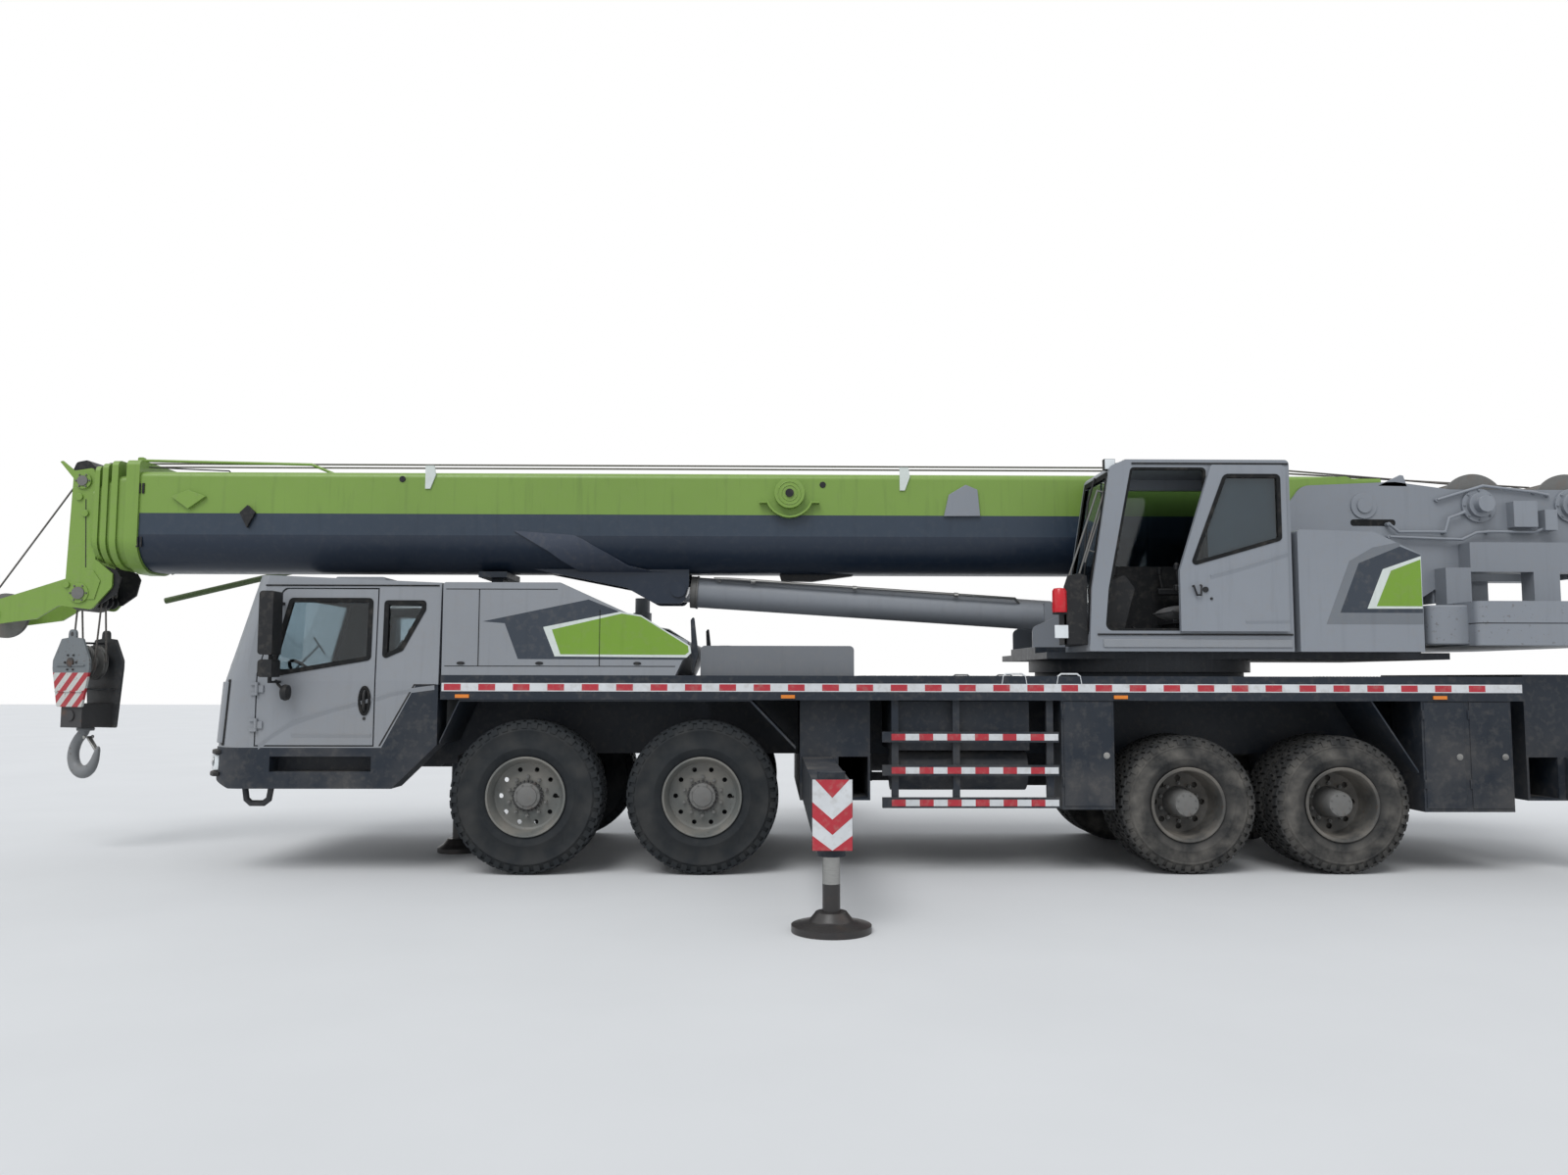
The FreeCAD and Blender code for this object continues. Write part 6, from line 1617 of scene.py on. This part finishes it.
def hook():
    """A forged hook: one bent bar, thick at the bowl and thin at the tip, with latch, nut and washer."""
    at, turn = BLOCK_AT, BLOCK_TURN
    rows = []
    for i in range(len(HOOK_LINE) - 1):
        near = [HOOK_LINE[max(0, min(len(HOOK_LINE) - 1, i + k))] for k in (-1, 0, 1, 2)]
        for k in range(4):
            t = k / 4
            rows.append([0.5 * (2 * b + (c - a) * t + (2 * a - 5 * b + 4 * c - e) * t * t
                                + (3 * b - a - 3 * c + e) * t ** 3) for a, b, c, e in zip(*near)])
    rows.append(list(HOOK_LINE[-1]))
    bar, sides, rings = Piece(), 18, []
    for i, (x, z, inward, across) in enumerate(rows):
        before, after = rows[max(0, i - 1)], rows[min(len(rows) - 1, i + 1)]
        way = Vector((after[0] - before[0], after[1] - before[1])).normalized()
        ring = []
        for t in circle(sides):
            ring.append((x + way.y * inward * cos(t), across * sin(t), z - way.x * inward * cos(t)))
        rings += ring
    faces = [tuple(range(sides))[::-1], tuple(range(len(rings) - sides, len(rings)))]
    for i in range(len(rows) - 1):
        for k in range(sides):
            n = (k + 1) % sides
            faces.append((sides * i + k, sides * i + n, sides * i + sides + n, sides * i + sides + k))
    bar.add(rings, faces)
    bar.turned([(0, 0.075), (0.02, 0.08), (0.035, 0.07)], (0, 0, 1.165), "z", 32)
    bar.done("hook_bar", "hook", "hook", at=at, turn=turn, smooth=60, swap=["hook"])
    latch = Piece()
    latch.side_plate([(0.04, 1.1), (0.055, 1.115), (0.18, 0.985), (0.165, 0.975)], -0.022, 0.022)
    for y in (-0.05, 0.036):
        rod_y(latch, 0.045, 1.105, y, y + 0.014, 0.018, 16)
    latch.done("hook_latch", "hook", "steel", 0.003, at=at, turn=turn)


def winch_gear():
    """Motors, valve blocks, hard pipes and lugs on the outside of the side plates."""
    for side, hand in SIDES:
        gear, dark = Piece(), Piece()
        face = PLATE_FACE
        for x in WINCHES.values():
            for out, radius in ((0.025, 0.165), (0.07, 0.12), (0.15, 0.08)):
                rod_y(gear, x, WINCH_HIGH, side * (face - 0.005), side * (face + out), radius, 36)
            for t in circle(8):
                gear.nut((x + 0.145 * cos(t), side * (face + 0.025), WINCH_HIGH + 0.145 * sin(t)), "y", 0.011,
                         side * 0.012)
        for x0, x1, low, high in ((9.24, 9.47, 3.15, 3.4), (9.54, 9.66, 3.12, 3.32)):
            gear.box((x0, x1), (side * (face - 0.005), side * (face + 0.11)), (low, high))
        rod_y(gear, 7.844, 3.363, side * (face - 0.005), side * (face + 0.015), 0.125, 40)
        gear.side_plate([(7.99, 3.56), (8.215, 3.668), (8.245, 3.662), (8.28, 3.555)], side * 0.43,
                        side * face)
        for high, line in ((0.055, [(8.06, 3.18), (8.15, 3.105), (8.6, 3.105), (8.64, 3.24), (8.8, 3.3)]),
                           (0.055, [(8.06, 3.058), (8.76, 3.032), (8.9, 3.1), (9.02, 3.11), (9.46, 3.108),
                                    (9.56, 3.14)]),
                           (0.03, [(8.551, 3.422), (9.0, 3.56), (9.5, 3.5), (9.635, 3.472)])):
            y = side * (face + high)
            gear.tube([(x, y, z) for x, z in line], 0.014, 10)
            for x, z in (line[0], line[-1], line[len(line) // 2]):
                gear.tube([(x, side * face, z), (x, y, z)], 0.02, 10)
        # A thin black sheet on each side plate stands for the slot: painted shade, as no opening is cut.
        dark.side_plate(rounded([(7.713, 3.168, 0.028), (8.15, 3.168, 0.028), (8.15, 3.232, 0.028),
                                 (7.713, 3.232, 0.028)]), side * (face - 0.001), side * (face + 0.0015))
        gear.done(f"winch_gear_{hand}", "upper", "upper", 0.003, 45)
        dark.done(f"slot_shade_{hand}", "upper", "rubber")
        block = Piece()
        block.slab(rounded([(7.98, 0.52, 0.03), (7.98, 1.25, 0.06), (8.35, 1.25, 0.03), (8.35, 0.52, 0.03)]),
                   lambda p: (p[0], side * p[1], 2.0), lambda p: (p[0], side * p[1], 2.352))
        block.done(f"front_weight_{hand}", "upper", "weight", 0.012)


def nose_trim():
    """Grille bars and tow hooks."""
    bars = Piece()
    for k in range(5):
        nose_strip(bars, -0.78, 0.78, (1.2 + 0.085 * k, 1.245 + 0.085 * k), 0.014, 8)
    bars.done("grille_bars", "carrier", "trim", 0.003)
    tows = Piece()
    for side in (LEFT, RIGHT):
        y = side * 1.17
        tows.tube([(-2.5, y, 0.75), (-2.48, y, 0.625), (-2.44, y, 0.59), (-2.33, y, 0.59), (-2.285, y, 0.625),
                   (-2.265, y, 0.75)], 0.026, 14)
    tows.done("tow_hooks", "carrier", "dark", smooth=60)


hoist_rope()
cylinder_trim()
head_trim()
saddle_plates()
boom_fittings()
head_fittings()
hook_block()
hook()
winch_gear()
nose_trim()


# Studio.


def make_studio():
    world = bpy.data.worlds.new("studio")
    bpy.context.scene.world = world
    world.use_nodes = True
    tree = world.node_tree
    tree.nodes.clear()
    out = tree.nodes.new("ShaderNodeOutputWorld")
    blend = tree.nodes.new("ShaderNodeMixShader")
    light = tree.nodes.new("ShaderNodeBackground")
    light.inputs["Color"].default_value = (0.93, 0.96, 1.0, 1)
    light.inputs["Strength"].default_value = 0.75
    seen = tree.nodes.new("ShaderNodeBackground")
    seen.inputs["Color"].default_value = (1, 1, 1, 1)
    path = tree.nodes.new("ShaderNodeLightPath")
    shown = tree.nodes.new("ShaderNodeMath")
    shown.operation = "MAXIMUM"
    also = tree.nodes.new("ShaderNodeMath")
    also.operation = "MAXIMUM"
    tree.links.new(path.outputs["Is Camera Ray"], shown.inputs[0])
    tree.links.new(path.outputs["Is Glossy Ray"], shown.inputs[1])
    tree.links.new(shown.outputs[0], also.inputs[0])
    tree.links.new(path.outputs["Is Transmission Ray"], also.inputs[1])
    tree.links.new(also.outputs[0], blend.inputs["Fac"])
    tree.links.new(light.outputs[0], blend.inputs[1])
    tree.links.new(seen.outputs[0], blend.inputs[2])
    tree.links.new(blend.outputs[0], out.inputs["Surface"])
    sun = bpy.data.lights.new("sun", "SUN")
    sun.energy = 1.6
    sun.angle = radians(35)
    lamp = bpy.data.objects.new("sun", sun)
    lamp.rotation_euler = (radians(38), 0, radians(-24))
    bpy.context.scene.collection.objects.link(lamp)


def make_floor():
    data = bpy.data.meshes.new("floor")
    data.from_pydata([(-60, -60, 0), (60, -60, 0), (60, 60, 0), (-60, 60, 0)], [], [(0, 1, 2, 3)])
    floor = bpy.data.objects.new("floor", data)
    bpy.context.scene.collection.objects.link(floor)
    shade = Shade("pale_floor")
    shade.set(Base_Color=shade.mix(shade.noise(0.6, 4), (0.60, 0.61, 0.62), (0.66, 0.67, 0.68)),
              Roughness=0.8)
    data.materials.append(shade.material)


make_studio()
make_floor()
